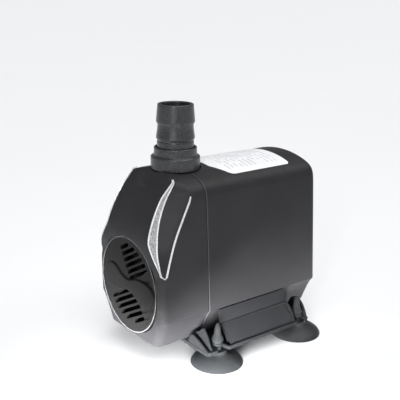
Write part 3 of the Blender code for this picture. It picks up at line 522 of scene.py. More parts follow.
def moulded(name, colour, roughness, grain_mm=0.35, depth=0.012, speckle=0.0, worn=0.35, shine=0.14):
    """Moulded plastic: fine spark-eroded grain, faint flow marks, handling haze and rubbed edges."""
    paint = Paint(name, colour, roughness, specular=shine)
    paint.tint(paint.ramp(paint.noise(28.0, 3.0), 0.35, 0.7, 0.0, 0.45), scaled(colour, 1.35))
    paint.tint(paint.ramp(paint.noise(7.0, 4.0), 0.5, 0.75, 0.0, 0.3), scaled(colour, 0.7))
    if speckle > 0:
        spots = paint.ramp(paint.noise(0.6, 1.0), 0.56, 0.7, 0.0, speckle)
        paint.tint(spots, scaled(colour, 5.0))
    paint.wear(scaled(colour, 3.5), amount=worn)
    paint.gloss(paint.noise(14.0, 5.0), roughness - 0.05, roughness + 0.07)
    paint.relief(paint.noise(grain_mm, 2.0), depth)
    paint.relief(paint.noise(60.0, 1.0), 0.25, 0.5)
    return paint.material


def rubber_like(name, colour, roughness):
    """Moulded rubber: soft sheen, dusty patches and a slightly uneven skin."""
    paint = Paint(name, colour, roughness, specular=0.2)
    paint.tint(paint.ramp(paint.noise(9.0, 4.0), 0.45, 0.75, 0.0, 0.5), scaled(colour, 1.9))
    paint.tint(paint.ramp(paint.noise(1.2, 3.0), 0.6, 0.8, 0.0, 0.35), scaled(colour, 2.6))
    paint.wear(scaled(colour, 2.5), amount=0.4)
    paint.gloss(paint.noise(6.0, 4.0), roughness - 0.08, roughness + 0.08)
    paint.relief(paint.noise(0.5, 3.0), 0.02)
    paint.relief(paint.noise(5.0, 2.0), 0.05)
    return paint.material


def metal(name, colour, roughness, line_mm=0.25, stretch=(1, 1, 0.05), depth=0.004):
    """Drawn or ground metal with fine lines along its stretched axis."""
    paint = Paint(name, colour, roughness, 1.0)
    lines = paint.noise(line_mm, 3.0, stretch)
    paint.tint(paint.ramp(paint.noise(6.0, 4.0), 0.4, 0.75, 0.0, 0.4), scaled(colour, 0.7))
    paint.gloss(lines, roughness - 0.08, roughness + 0.1)
    paint.relief(lines, depth)
    return paint.material


def grained_foil():
    """Silver foil of the trims: fine sparkling grain."""
    paint = Paint("silver_grain", (0.16, 0.165, 0.17), 0.5, 0.1)
    grain = paint.noise(0.42, 2.0)
    paint.tint(paint.ramp(grain, 0.52, 0.66, 0.0, 0.9), (0.75, 0.76, 0.77))
    paint.tint(paint.ramp(paint.noise(0.8, 2.0), 0.52, 0.66, 0.0, 0.5), (0.12, 0.125, 0.13))
    paint.gloss(grain, 0.35, 0.55)
    paint.relief(grain, 0.05)
    return paint.material


def polished_foil():
    """Bright border of the trims, with slight rubbing."""
    paint = Paint("silver_border", (0.66, 0.665, 0.67), 0.28, 0.15)
    paint.tint(paint.ramp(paint.noise(3.0, 4.0), 0.5, 0.75, 0.0, 0.35), (0.6, 0.6, 0.62))
    paint.gloss(paint.noise(1.0, 3.0), 0.2, 0.36)
    paint.relief(paint.noise(0.6, 2.0), 0.012)
    return paint.material


# Distance between the printed rows of the label
ROW_PITCH = 4.2


def label_sheet():
    """Pale printed film with plain grey bars and no wording."""
    paint = Paint("label_film", (0.83, 0.84, 0.85), 0.42)
    paint.tint(paint.ramp(paint.noise(18.0, 3.0), 0.4, 0.7, 0.0, 0.35), (0.74, 0.75, 0.77))
    split = paint.add("ShaderNodeSeparateXYZ")
    paint.link(paint.place, split.inputs["Vector"])
    x, y = split.outputs["X"], split.outputs["Y"]
    row = paint.maths("ABSOLUTE", paint.maths("WRAP", y, ROW_PITCH / 2 * MM, -ROW_PITCH / 2 * MM), 0.0)
    line = paint.ramp(row, 0.55 * MM, 0.85 * MM, 1.0, 0.0)
    inside = paint.ramp(paint.maths("ABSOLUTE", x, 0.0), 21.5 * MM, 22.0 * MM, 1.0, 0.0)
    inside = paint.maths("MULTIPLY", inside, paint.ramp(y, -2.0 * MM, -1.6 * MM))
    inside = paint.maths("MULTIPLY", inside, paint.ramp(y, 47.6 * MM, 48.0 * MM, 1.0, 0.0))
    words = paint.ramp(paint.noise(5.5, 1.0, (1.0, 1.6, 0.0)), 0.42, 0.46)
    print_mask = paint.maths("MULTIPLY", paint.maths("MULTIPLY", line, inside), words)
    paint.tint(paint.maths("MULTIPLY", print_mask, 0.5), (0.34, 0.35, 0.37))
    paint.wear((0.6, 0.6, 0.58), amount=0.3)
    paint.gloss(paint.noise(10.0, 4.0), 0.34, 0.5)
    paint.relief(paint.noise(0.8, 2.0), 0.006)
    paint.relief(print_mask, 0.004)
    return paint.material


def winding():
    """Enamelled copper wire: round turns side by side."""
    paint = Paint("copper_winding", (0.50, 0.19, 0.07), 0.32, 0.9)
    wave = paint.add("ShaderNodeTexWave", wave_type="BANDS", bands_direction="Z", wave_profile="SIN")
    wave.inputs["Scale"].default_value = 1.0 / (0.45 * MM) / 20.0
    wave.inputs["Distortion"].default_value = 0.15
    paint.link(paint.place, wave.inputs["Vector"])
    paint.tint(paint.ramp(wave.outputs["Fac"], 0.0, 0.4, 0.7, 0.0), (0.12, 0.04, 0.02))
    paint.tint(paint.ramp(paint.noise(5.0, 3.0), 0.45, 0.7, 0.0, 0.4), (0.62, 0.28, 0.12))
    paint.relief(wave.outputs["Fac"], 0.2)
    return paint.material


def laminations():
    """Stacked steel sheets, edges along Y."""
    paint = Paint("lamination_edges", (0.38, 0.38, 0.40), 0.42, 1.0)
    wave = paint.add("ShaderNodeTexWave", wave_type="BANDS", bands_direction="Y", wave_profile="SIN")
    wave.inputs["Scale"].default_value = 1.0 / (0.5 * MM) / 20.0
    paint.link(paint.place, wave.inputs["Vector"])
    paint.tint(paint.ramp(wave.outputs["Fac"], 0.0, 0.3, 0.75, 0.0), (0.08, 0.08, 0.09))
    paint.tint(paint.ramp(paint.noise(4.0, 4.0), 0.55, 0.75, 0.0, 0.3), (0.30, 0.20, 0.13))
    paint.gloss(paint.noise(2.0, 3.0), 0.35, 0.55)
    paint.relief(wave.outputs["Fac"], 0.1)
    return paint.material


CHARCOAL = (0.0215, 0.0210, 0.0225)
MATERIALS = {
    "housing_plastic": moulded("housing_charcoal", CHARCOAL, 0.40),
    "cover_plastic": moulded("cover_charcoal", CHARCOAL, 0.40),
    "dial_plastic": moulded("dial_charcoal", (0.0085, 0.0083, 0.0085), 0.36, worn=0.7, shine=0.08),
    "chamber_plastic": moulded("chamber_charcoal", (0.026, 0.026, 0.029), 0.46),
    "outlet_plastic": moulded("outlet_charcoal", (0.020, 0.0205, 0.0215), 0.30, 0.6, 0.10, 0.75, 0.9, 0.5),
    "rubber": rubber_like("rubber_black", (0.0145, 0.0155, 0.0165), 0.46),
    "screw_steel": metal("screw_steel_ground", (0.60, 0.60, 0.62), 0.3),
    "ferrite": moulded("ferrite_grey", (0.055, 0.055, 0.06), 0.5, 0.5, 0.03, 0.25),
    "potting_resin": moulded("resin_black", (0.02, 0.02, 0.022), 0.28, 2.5, 0.05),
    "bobbin_plastic": moulded("bobbin_white", (0.62, 0.61, 0.57), 0.45, worn=0.0),
    "impeller_plastic": moulded("impeller_white", (0.60, 0.60, 0.58), 0.42, worn=0.0),
    "ceramic": moulded("ceramic_white", (0.80, 0.79, 0.76), 0.2, 0.4, 0.004, worn=0.0),
    "lamination_steel": laminations(),
    "copper_wire": winding(),
    "silver_trim": grained_foil(),
    "label_sheet": label_sheet(),
}
BORDER = polished_foil()
# Lighter grey on the dial's rim bead is a painted highlight for the thin bright line round the dial; the wear
# tint adds rubbed edges on top.
RIM_HIGHLIGHT_PAINT = moulded("rim_painted_highlight", (0.11, 0.11, 0.113), 0.3, worn=0.6, shine=0.5)
FOOT_PAINT = moulded("foot_charcoal", (0.0125, 0.0130, 0.0140), 0.38, worn=0.9, shine=0.12)
# Lighter grey on the housing's front lip is a painted highlight, so the seam shows as a thin light line; the
# wear tint adds rubbed edges on top.
LIP_HIGHLIGHT_PAINT = moulded("lip_painted_highlight", (0.055, 0.055, 0.057), 0.34, worn=0.6, shine=0.3)
SLOT_OF = {part["node"]: part["material_slot"] for part in frame["record"]["subparts"]}
BODY_OF = {node: body for body, nodes in frame["record"]["behaviour"]["bodies"].items() for node in nodes}


def stand_for(obj, node, extra=()):
    """Gives the piece its node's finish and body, and lets it stand for the node."""
    slot = SLOT_OF[node]
    marks = [face.material_index for face in obj.data.polygons]
    obj.data.materials.clear()
    for material in (MATERIALS[slot], *extra):
        obj.data.materials.append(material)
    obj.data.polygons.foreach_set("material_index", [min(mark, len(extra)) for mark in marks])
    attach(obj, BODY_OF[node])
    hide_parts(node)
    return obj


# ---------------------------------------------------------------- body

def body_ring(y, inset=0.0):
    return [(x, y, z) for x, z in body_loop(inset)]


def edge_rings(y, outward, reach, depth, inset=0.0, steps=6):
    """Rings of a rounded end of the body: at y the section is moved in by depth."""
    rings = []
    for k in range(steps + 1):
        a = math.radians(90.0 * k / steps)
        rings.append(body_ring(y - outward * reach * (1 - math.sin(a)), inset + depth * (1 - math.cos(a))))
    return rings


def outlet_tool(grow):
    """Cutter for the pipe hole and the flat deck under the nut."""
    deck = NUT_R + 0.8 + grow
    pipe = 13.5 + grow
    profile = [(0.0, 90.0), (pipe, 90.0), (pipe, DECK_Z), (deck, DECK_Z), (deck, 145.0), (0.0, 145.0)]
    return turned("deck_tool", profile, (0, OUTLET_Y, 0), "Z", 80)


# Proud lip on the housing's front edge: how far back from the edge, and how far in from the body section
LIP = ((0.0, 0.35), (0.0, 0.0), (0.08, -0.2), (0.22, -0.3), (0.42, -0.3), (0.56, -0.2), (0.64, 0.0))


def build_housing():
    front = SEAM_Y + GAP
    rings = [body_ring(front + reach, inset) for reach, inset in LIP] + [body_ring(front + 2.4)]
    rings += [body_ring(y) for y in np.linspace(front + 8, REAR_Y - 6, 9)]
    rings += edge_rings(REAR_Y, 1, 4.0, 2.6, steps=8)
    housing = loft("housing_shell", rings)
    for _ in range(2):
        housing.data.materials.append(MATERIALS["housing_plastic"])
    spigot = loft("spigot", [body_ring(front - 5.0, WALL + 2.0), body_ring(front - 4.4, WALL + 1.5),
                             body_ring(front + 2.2, WALL + 1.5)])
    mouth = loft("mouth", [body_ring(front - 8.0, WALL + 2.5), body_ring(front + 3.0, WALL + 2.5)])
    pocket = loft("pocket", [body_ring(front + 2.2, WALL + 2.0), body_ring(-19.2, WALL + 2.0)])
    bay = loft("bay", [body_ring(-14.7, WALL + 1.2), body_ring(REAR_Y - 5.0, WALL + 1.2)])
    seat = loft("seat", [body_ring(REAR_Y - 4.0, WALL + 0.2), body_ring(REAR_Y + 2.0, WALL + 0.2)])
    link = loft("link", [body_ring(REAR_Y - 8.0, WALL + 1.2), body_ring(REAR_Y - 3.0, WALL + 1.2)])
    well = drum("well", 16.5, (0, DIAL_Z), -18.2, 44.0)
    bore = drum("bore", 14.5, (0, DIAL_Z), -21.2, 42.0)
    steps = [(ADD, spigot), (CUT, mouth), (CUT, pocket), (CUT, bay), (CUT, seat), (CUT, link), (ADD, well),
             (CUT, bore), (CUT, outlet_tool(0.0))]
    for k in range(4):
        a = math.radians(45 + 90 * k)
        spot = (31.2 * math.cos(a), DIAL_Z + 31.2 * math.sin(a))
        steps.append((CUT, drum("pilot", 1.8, spot, -20.2, -15.3, 24)))
    shape(housing, steps)
    # Faces of the front lip get the second slot, the lighter paint that is a painted highlight along the
    # seam.
    last = front + LIP[-1][0] + 0.02
    for face in housing.data.polygons:
        if front + 0.01 < face.center[1] / MM < last:
            face.material_index = 1
    stand_for(housing, "motor_housing", (LIP_HIGHLIGHT_PAINT,))


def build_rear():
    """Closing plate with a shallow raised panel, and the ribbed cord gland."""
    inset = WALL + 0.2 + GAP
    outside = REAR_Y - 0.6
    rings = [body_ring(REAR_Y - 3.6, inset)] + edge_rings(outside, 1, 0.6, 0.6, inset, 4)
    rings += [body_ring(outside, inset + 3.0), body_ring(outside - 0.6, inset + 3.6),
              body_ring(outside - 0.6, inset + 5.0), body_ring(outside, inset + 5.6)]
    rear = loft("rear_plate", rings, 40.0)
    shape(rear, [(CUT, drum("gland_hole", 6.3, (0, DIAL_Z), REAR_Y - 8, REAR_Y + 2))], 40.0)
    stand_for(rear, "rear_cover")
    end = GLAND_HIGH[1]
    profile = rim_profile([(3.4, 66.0), (7.4, 66.0), (7.4, REAR_Y - 3.9), (6.0, REAR_Y - 3.9),
                           (6.0, REAR_Y - 0.3), (7.6, REAR_Y - 0.3), (7.4, REAR_Y + 0.9), (6.5, REAR_Y + 1.2),
                           (6.7, REAR_Y + 1.9), (5.4, end), (3.4, end)], 0.35)
    stand_for(turned("gland_boot", profile, (0, 0, DIAL_Z), "Y", 64), "cable_gland")


# ---------------------------------------------------------------- front cover

def cover_levels():
    low = [13.7, 13.78, 14.0, 14.5, 15.2, 17.0]
    middle = list(np.arange(19.0, 130.0, 1.0))
    top = [p[1] for p in HALF_CURVE if p[1] > 130.2]
    return low + sorted(set(np.round(middle + [36.0, 36.3, 36.6, 35.7, 36.9], 3))) + list(np.round(top, 3))


def cover_solid(name, inset=0.0, back=None, levels=None):
    back = SEAM_Y if back is None else back
    rings = []
    for z in levels or cover_levels():
        half = side_half(max(z, BODY_BOTTOM + 0.6))
        right = plan_half(z, back)
        height = z
        bottom = max(0.0, 1.5 - (z - BODY_BOTTOM) * 1.0)
        tuck = 1.5 * (1 - math.sqrt(max(0.0, 1 - (bottom / 1.5) ** 2))) if inset == 0 else inset
        if tuck > 0:
            shrink = (half - tuck) / half
            right = [np.array((p[0] * shrink, min(p[1] + tuck, back))) for p in right]
        if inset > 0:
            span = CROWN_Z - BODY_BOTTOM
            height = BODY_BOTTOM + inset + (z - BODY_BOTTOM) * (span - 2 * inset) / span
            right = [np.array((p[0], back if k < 4 else p[1])) for k, p in enumerate(right)][3:]
        ring = right + [p * (-1, 1) for p in right[-2::-1]]
        rings.append([(p[0], p[1], height) for p in ring])
    return loft(name, rings, 28.0)


def recess_tool():
    """Round pocket for the dial, whose mouth is flared to follow the front face."""
    hole = DIAL_R + GAP
    floor_y = -71.2
    flare = ((0.0, None), (0.0, 0.75), (0.05, 0.45), (0.2, 0.2), (0.45, 0.05), (0.8, -0.03), (0.8, -15.0))
    rings = []
    count = 120
    for extra, proud in flare:
        ring = []
        for j in range(count):
            a = 2 * math.pi * j / count
            x = (hole + extra) * math.cos(a)
            z = DIAL_Z + (hole + extra) * math.sin(a)
            y = floor_y if proud is None else face_y(x, z) + proud
            ring.append((x, y, z))
        rings.append(ring)
    return loft("recess_tool", rings)


def sector_loop(inner, outer, start, span, steps=24):
    centre = (0, DIAL_Z)
    return circle(outer, centre, steps, start, span) + circle(inner, centre, steps, start, span)[::-1]


# Heights of the sections of the cover's inside
COARSE_LEVELS = (13.7, 20.0, 27.0, 33.4, 36.3, 48.0, 62.0, 68.3, 74.0, 80.0, 86.0, 91.0, 95.0, 102.0, 109.0,
                 114.0, 118.0, 122.2, 125.4, 127.9, 129.9, 132.1, 133.8, 134.9)


def build_cover():
    cover = cover_solid("cover_shell")
    flank = [(0.0, 108.0), (27.5, 108.0), (24.6, 116.0), (21.6, 123.0), (19.6, 129.0), (18.4, 132.0),
             (17.6, DECK_Z), (0.0, DECK_Z)]
    boss = turned("boss", rounded(flank, [0, 0, 4, 4, 4, 1.2, 0.5, 0], 4), (0, OUTLET_Y, 0), "Z", 96)
    shape(boss, [(CUT, block("half", (-40, SEAM_Y - 0.02, 100), (40, 10, 140)))])
    cavity = cover_solid("cavity", WALL, SEAM_Y + 1.5, COARSE_LEVELS)
    shape(cavity, [(CUT, drum("ledge", DIAL_R + 2.6, (0, DIAL_Z), -82.0, -69.4))])
    steps = [(ADD, boss), (CUT, cavity), (CUT, recess_tool())]
    for start in (39.0, 219.0):
        loop = sector_loop(8.0, 31.0, start, 84.0)
        steps.append((CUT, loft("window", [[(x, y, z) for x, z in loop] for y in (-75, -65)])))
    steps += [(CUT, drum("hub", 3.3, (0, DIAL_Z), -75, -65, 32)), (CUT, outlet_tool(0.0))]
    stand_for(shape(cover, steps, 30.0), "front_cover")


# ---------------------------------------------------------------- inlet dial

SLOT_ANGLE = 29.0
SLOT_PITCH = 4.57
SLOT_FIRST = 3.7
SLOT_W = 2.7
UPPER_REACH = 30.5
UPPER_NEAR = 5.0
LOWER_REACH = 27.3
LOWER_NEAR = 7.0
GROOVE_REACH = 32.0
GROOVE_DEPTH = 0.7
GRIP_RISE = 1.2
GRIP = ((-0.97, -0.10), (-0.84, -0.18), (-0.70, -0.235), (-0.44, -0.24), (-0.24, -0.20), (-0.08, -0.12),
        (0.09, -0.125), (0.234, -0.167), (0.35, -0.235), (0.44, -0.296), (0.60, -0.33), (0.72, -0.27),
        (0.83, -0.18), (0.955, -0.03))


def slot_loop(near, far, offset, width=SLOT_W):
    angle = math.radians(SLOT_ANGLE)
    points = []
    for end, start in ((far, -90), (near, 90)):
        for k in range(9):
            a = math.radians(start + 22.5 * k)
            u = end + 0.5 * width * math.cos(a)
            v = offset + 0.5 * width * math.sin(a)
            points.append((u * math.cos(angle) - v * math.sin(angle),
                           DIAL_Z + u * math.sin(angle) + v * math.cos(angle)))
    return points


def build_dial():
    front = DIAL_FACE_Y
    holes = []
    grooves = []
    for k in range(6):
        offset = SLOT_FIRST + SLOT_PITCH * k
        upper = math.sqrt(UPPER_REACH ** 2 - offset ** 2) - SLOT_W / 2
        lower = math.sqrt(LOWER_REACH ** 2 - offset ** 2) - SLOT_W / 2
        groove = math.sqrt(GROOVE_REACH ** 2 - offset ** 2) - SLOT_W / 2
        holes.append(slot_loop(UPPER_NEAR, upper, offset))
        holes.append(slot_loop(-lower, LOWER_NEAR, -offset))
        loop = slot_loop(LOWER_NEAR - 1.0, groove, -offset, SLOT_W - 0.5)
        grooves.append((CUT, loft("groove", [[(x, y, z) for x, z in loop]
                                             for y in (front - 1.0, front + GROOVE_DEPTH)])))
    disc = plate("dial_disc", circle(DIAL_R, (0, DIAL_Z), 140), holes, front + 3.2, front, facing_front, 0.4)
    half = [np.array(p) for p in GRIP]
    loop = rounded(half + [-p for p in half], [0.2] * 28, 4, closed=True)
    loop = [(x * DIAL_R, DIAL_Z + z * DIAL_R) for x, z in loop]
    grip = plate("grip", loop, [], front + 1.2, front - GRIP_RISE, facing_front, 1.1, both=False)
    lip = turned("lip", rim_profile([(DIAL_R - 0.85, front + 1.0), (DIAL_R - 0.1, front + 1.0),
                                     (DIAL_R - 0.1, front - 0.4), (DIAL_R - 0.8, front - 0.4)], 0.3),
                 (0, 0, DIAL_Z), "Y", 140)
    hub = turned("hub", rim_profile([(0, front + 1), (3.0, front + 1), (3.0, -68.6), (0, -68.6)], 0.4),
                 (0, 0, DIAL_Z), "Y", 40)
    disc.data.materials.append(MATERIALS["dial_plastic"])
    lip.data.materials.append(RIM_HIGHLIGHT_PAINT)
    shape(disc, grooves + [(ADD, lip), (ADD, grip), (ADD, hub)])
    # Rim faces get the second slot, whose lighter grey is a painted highlight round the dial's edge.
    for face in disc.data.polygons:
        x, y, z = face.center / MM
        radius = math.hypot(x, z - DIAL_Z)
        face.material_index = 1 if radius > DIAL_R - 1.2 and y < front - 0.05 else 0
    stand_for(disc, "inlet_dial", (RIM_HIGHLIGHT_PAINT,))


# ---------------------------------------------------------------- trims

def band(name, left, right, lift, thick, border, rise):
    """Strip with raised round borders that follows two curves; the first slot is the grained middle."""
    profile = [(0.0, 0.55), (0.15, 0.9), (0.5, 1.0), (0.85, 0.8), (1.0, 0.0)]
    middle = set(range(len(profile), len(profile) + 4))
    rings = []
    count = len(left)
    for i in range(count):
        a = Vector(left[i])
        b = Vector(right[i])
        ahead = (Vector(left[min(i + 1, count - 1)]) + Vector(right[min(i + 1, count - 1)])) / 2
        behind = (Vector(left[max(i - 1, 0)]) + Vector(right[max(i - 1, 0)])) / 2
        across = b - a
        width = across.length
        normal = across.cross(ahead - behind).normalized()
        towards = Vector((a.x * 0.02, -1.0, 0.2)) if abs(normal.y) > 0.05 else Vector((a.x, 0, 0))
        if normal.dot(towards) < 0:
            normal = -normal
        edge = min(border, 0.34 * width)
        ring = [(a, lift)]
        for t, h in profile:
            ring.append((a + across / width * edge * t, lift + thick + rise * h if t < 1 else lift + thick))
        for t in (0.35, 0.65):
            ring.append((a.lerp(b, t), lift + thick))
        for t, h in profile[::-1]:
            ring.append((b - across / width * edge * t, lift + thick + rise * h if t < 1 else lift + thick))
        ring.append((b, lift))
        rings.append([tuple(p + normal * h) for p, h in ring])
    obj = loft(name, rings, 40.0)
    size = len(rings[0])
    for face in obj.data.polygons:
        spots = {v % size for v in face.vertices}
        face.material_index = 0 if len(face.vertices) == 4 and spots <= middle else 1
    return obj


def build_trim(name, side, node):
    """Broad blade on the face and thin line on the side, which meet in a point."""
    tip = np.array((40.35, -71.3, 69.2))
    outer, inner, low, high = [], [], [], []
    for z in np.linspace(71.0, 131.6, 70):
        line, inside, outside = leaf_corners(z)
        t = min(1.0, max(0.0, (z - 71.0) / 5.0))
        slim = max(0.0, (z - 122.0) / 9.6)
        outside = outside + (inside - outside) * 0.35 * slim
        outer.append((side * outside[0], outside[1], z))
        inner.append((side * (inside[0] - 0.2), inside[1], z))
    for z in np.linspace(70.2, 122.5, 60):
        y = line_y(z)
        half = side_half(z)
        low.append((side * half, y - 0.15, z))
        high.append((side * half, y + 1.15 * min(1.0, (123.2 - z) / 6.0 + 0.35), z))
    for curve, pull in ((outer, 0.35), (inner, -0.1), (low, -0.45), (high, 0.35)):
        curve.insert(0, (side * tip[0], tip[1] + pull, tip[2]))
    blade = band(name, outer, inner, 0.25, 0.45, 1.0, 0.4)
    thin = band("line", low, high, 0.25, 0.35, 0.7, 0.35)
    thin.data.polygons.foreach_set("material_index", [1] * len(thin.data.polygons))
    for obj in (blade, thin):
        obj.data.materials.append(MATERIALS["silver_trim"])
        obj.data.materials.append(BORDER)
    shape(blade, [(ADD, thin)], 40.0)
    stand_for(blade, node, (BORDER,))


# ---------------------------------------------------------------- outlet

TAB_ANGLE = math.radians(-47.0)


def tab_place(u, v, depth):
    """Point on the small tab on the neck of the nut: along its width, its height and outwards."""
    c, s = math.cos(TAB_ANGLE), math.sin(TAB_ANGLE)
    return depth * c - u * s, OUTLET_Y + depth * s + u * c, NUT_LOW[2] + 9.6 + v


def build_outlet():
    centre = (0, OUTLET_Y, 0)
    low, high = NUT_LOW[2], NUT_HIGH[2]
    nut = turned("collar_nut", rim_profile([(15.5, low), (NUT_R, low, 0.5), (NUT_R, low + 8.4, 0.25),
                                            (NUT_R - 0.55, low + 9.1, 0.4), (15.9, low + 9.3, 0.3),
                                            (15.5, low + 9.9, 0.3), (15.5, high - 0.4, 0.6),
                                            (14.9, high, 0.3), (14.2, high, 0.3), (14.2, 141.7),
                                            (15.5, 141.7)]),
                 centre, "Z", 128)
    tab = plate("tab", [(-1.5, 0.4), (1.5, 0.4), (1.5, 3.2), (-1.5, 3.2)], [], 15.0, 15.95,
                tab_place, 0.25, both=False)
    shape(nut, [(ADD, tab)])
    stand_for(nut, "union_nut")
    top = ADAPTER_HIGH[2]
    spigot = turned("hose_spigot", rim_profile([(10.5, 139.8), (15.1, 139.8), (15.1, 141.4), (13.3, 141.4),
                                                (13.3, 153.4), (12.9, 154.4, 0.5), (13.9, 155.9, 0.25),
                                                (13.85, 157.0, 0.6), (12.9, 163.0, 2.0), (12.9, 165.8, 0.6),
                                                (13.9, 167.7, 0.25), (13.8, 169.0, 0.8), (12.95, 179.4, 0.5),
                                                (12.6, top, 0.3), (10.9, top, 0.3), (10.5, 179.5, 0.4)]),
                    centre, "Z", 128)
    stand_for(spigot, "hose_adapter")


# ---------------------------------------------------------------- foot and cups

CUP_NODES = ("suction_cup_front_left", "suction_cup_front_right", "suction_cup_rear_left",
             "suction_cup_rear_right")
PLATE_Z0 = FOOT_LOW[2]
PLATE_Z1 = PLATE_Z0 + 2.9


def cup_centre(node):
    low, high = box_mm(node)
    return (low + high) / 2


# Web from the side panel up to the crease of the body: x and z
FLANGE = ((44.8, 26.1), (43.5, 25.0), (41.2, 34.3), (42.6, 35.7))


def build_foot():
    half = FOOT_HIGH[0]
    y0, y1 = FOOT_LOW[1], FOOT_HIGH[1]
    notches = {node: cup_centre(node) for node in CUP_NODES}
    radii = [1.5, 1.5]
    outline = [(half - 2, y0), (half, y0 + 2)]
    for y in sorted(c[1] for c in notches.values() if c[0] > 0):
        x = max(c[0] for c in notches.values())
        outline += [(half, y - 5.0), (x + 3.0, y - 3.5), (x, y - 3.6), (x - 2.7, y - 2.6), (x - 3.7, y),
                    (x - 2.7, y + 2.6), (x, y + 3.6), (x + 3.0, y + 3.5), (half, y + 5.0)]
        radii += [1.2, 1.5, 1.5, 1.5, 1.5, 1.5, 1.5, 1.5, 1.2]
    outline += [(half, y1 - 2), (half - 2, y1)]
    radii += [1.5, 1.5]
    loop = outline + [(-x, y) for x, y in reversed(outline)]
    foot = plate("foot_frame", rounded(loop, radii + radii[::-1], 4, closed=True), [], PLATE_Z0, PLATE_Z1,
                 facing_up, 0.5)
    z0 = PLATE_Z0 + 0.5
    slant = [(53.0, z0), (56.2, z0), (56.0, PLATE_Z1), (55.2, 13.2), (50.3, 19.6), (44.9, 25.9),
             (43.4, 25.3), (42.9, 24.4), (48.2, 18.6), (52.4, 12.6)]
    gusset = [(36.6, z0), (56.2, z0), (56.0, PLATE_Z1), (55.2, 13.8), (53.8, 17.5), (51.0, 22.0),
              (48.2, 24.5), (45.0, 26.1), (41.5, 25.8), (38.4, 24.0), (36.6, 21.0), (35.4, 18.6),
              (34.0, 14.0)]
    front_fin = [(36.6, z0), (56.2, z0), (56.0, PLATE_Z1), (54.6, 13.9), (50.3, 21.5), (46.2, 27.2),
                 (44.6, 26.6), (41.0, 23.0), (36.6, 21.0), (35.4, 18.6), (34.0, 14.0)]
    low_gusset = [(34.4, z0), (56.2, z0), (56.0, PLATE_Z1), (50.0, 16.6), (44.0, 19.4), (38.5, 21.0),
                  (35.6, 18.6), (34.0, 14.0)]
    steps = []
    panel0, panel1 = -25.5, 40.5
    for side in (1, -1):
        panel = [(side * x, z) for x, z in slant]
        smooth = [0.3, 0.3, 0.6, 0.6, 6, 0.5, 0.5, 0.5, 6, 1]
        steps.append((ADD, plate("panel", rounded(panel, smooth, 4, closed=True), [], panel1, panel0,
                                 facing_front, 0.3)))
        flange = [(side * x, z) for x, z in FLANGE]
        steps.append((ADD, plate("flange", rounded(flange, [0.3] * 4, 3, closed=True), [], panel1 - 0.2,
                                 panel0 + 0.2, facing_front, 0.2)))
        fins = [(front_fin, -41.9), (gusset, panel0 - 0.2), (gusset, panel1 - 1.4), (gusset, y1 - 1.9),
                (low_gusset, y0 + 0.3)]
        for corners, y in fins:
            bends = [0.4] * 3 + [2.0] * (len(corners) - 4) + [0.4]
            fin = rounded([(side * x, z) for x, z in corners], bends, 4, closed=True)
            steps.append((ADD, plate("fin", fin, [], y + 1.6, y, facing_front, 0.35)))
    foot = shape(foot, steps)
    foot.data.polygons.foreach_set("material_index", [1] * len(foot.data.polygons))
    stand_for(foot, "base_foot", extra=(FOOT_PAINT,))


# Half section of a cup from the middle of its underside: radius, z, corner rounding
CUP_PROFILE = ((0.0, 4.6), (9.0, 3.4, 3), (15.0, 1.2, 2), (17.3, 0.05, 0.4), (19.0, 0.0, 0.15),
               (19.05, 0.6, 0.3), (17.6, 3.1, 2), (13.4, 5.7, 3), (9.2, 7.2, 2), (7.0, 8.2, 0.8),
               (6.5, 10.0, 0.3), (3.0, 10.1, 0.4),
               (3.0, 13.7, 0.3), (4.5, 13.9, 0.3), (4.6, 14.9, 0.4), (3.5, 15.5, 0.4), (4.65, 17.5, 1.2),
               (3.5, 20.4, 1.2), (2.7, 21.8, 0.8), (2.1, 27.0, 2), (1.1, 29.6, 0.8), (0.0, 30.3))


def build_cups():
    for node in CUP_NODES:
        centre = cup_centre(node)
        cup = turned(node.replace("suction_", "") + "_rubber", rim_profile(CUP_PROFILE),
                     (centre[0], centre[1], 0), "Z", 96, 40.0)
        stand_for(cup, node)


# ---------------------------------------------------------------- label

def roof_height(x):
    roof = HALF_CURVE[HALF_CURVE[:, 1] > 118.5]
    return float(np.interp(abs(x), roof[::-1, 0], roof[::-1, 1]))


def build_label():
    half = LABEL_HIGH[0]
    near, far = LABEL_LOW[1], LABEL_HIGH[1]
    corner = 3.0
    columns_x = half * np.sin(np.linspace(-math.pi / 2, math.pi / 2, 57))
    rows = 40
    low, high = [], []
    for x in columns_x:
        into = max(0.0, abs(x) - (half - corner))
        trim = corner - math.sqrt(max(corner ** 2 - into ** 2, 0.0))
        start = near + 0.62 * max(0.0, abs(x) - 12.0) + trim
        for k in range(rows):
            y = start + (far - trim - start) * k / (rows - 1)
            low.append((x, y, roof_height(x) + 0.12))
            high.append((x, y, roof_height(x) + 0.32))
    count = len(columns_x)
    base = len(low)
    faces = []
    for i in range(count - 1):
        for k in range(rows - 1):
            a = i * rows + k
            faces.append((a, a + 1, a + rows + 1, a + rows))
            faces.append((base + a, base + a + rows, base + a + rows + 1, base + a + 1))
    rim = [i * rows for i in range(count)] + [(count - 1) * rows + k for k in range(1, rows)]
    rim += [i * rows + rows - 1 for i in range(count - 2, -1, -1)] + [k for k in range(rows - 2, 0, -1)]
    for a, b in zip(rim, rim[1:] + rim[:1]):
        faces.append((a, b, base + b, base + a))
    stand_for(add_mesh("label_film", low + high, faces, 50.0), "rating_label")


# ---------------------------------------------------------------- inside parts

def dress_inside():
    """The CAD nodes that nothing stands for keep their shape and get their own finish."""
    for name, node in frame["nodes"].items():
        if node.hide_render:
            continue
        node.data.materials.clear()
        node.data.materials.append(MATERIALS[SLOT_OF[name]])


# ---------------------------------------------------------------- studio

# Camera: degrees round the object, above it and of roll, then millimetres
CAMERA_AZIMUTH = 51.97
CAMERA_ELEVATION = 16.44
CAMERA_ROLL = 0.81
CAMERA_DISTANCE = 542.39
CAMERA_TARGET = (0.0, -10.54, 105.45)
CAMERA_LENS = 65.065


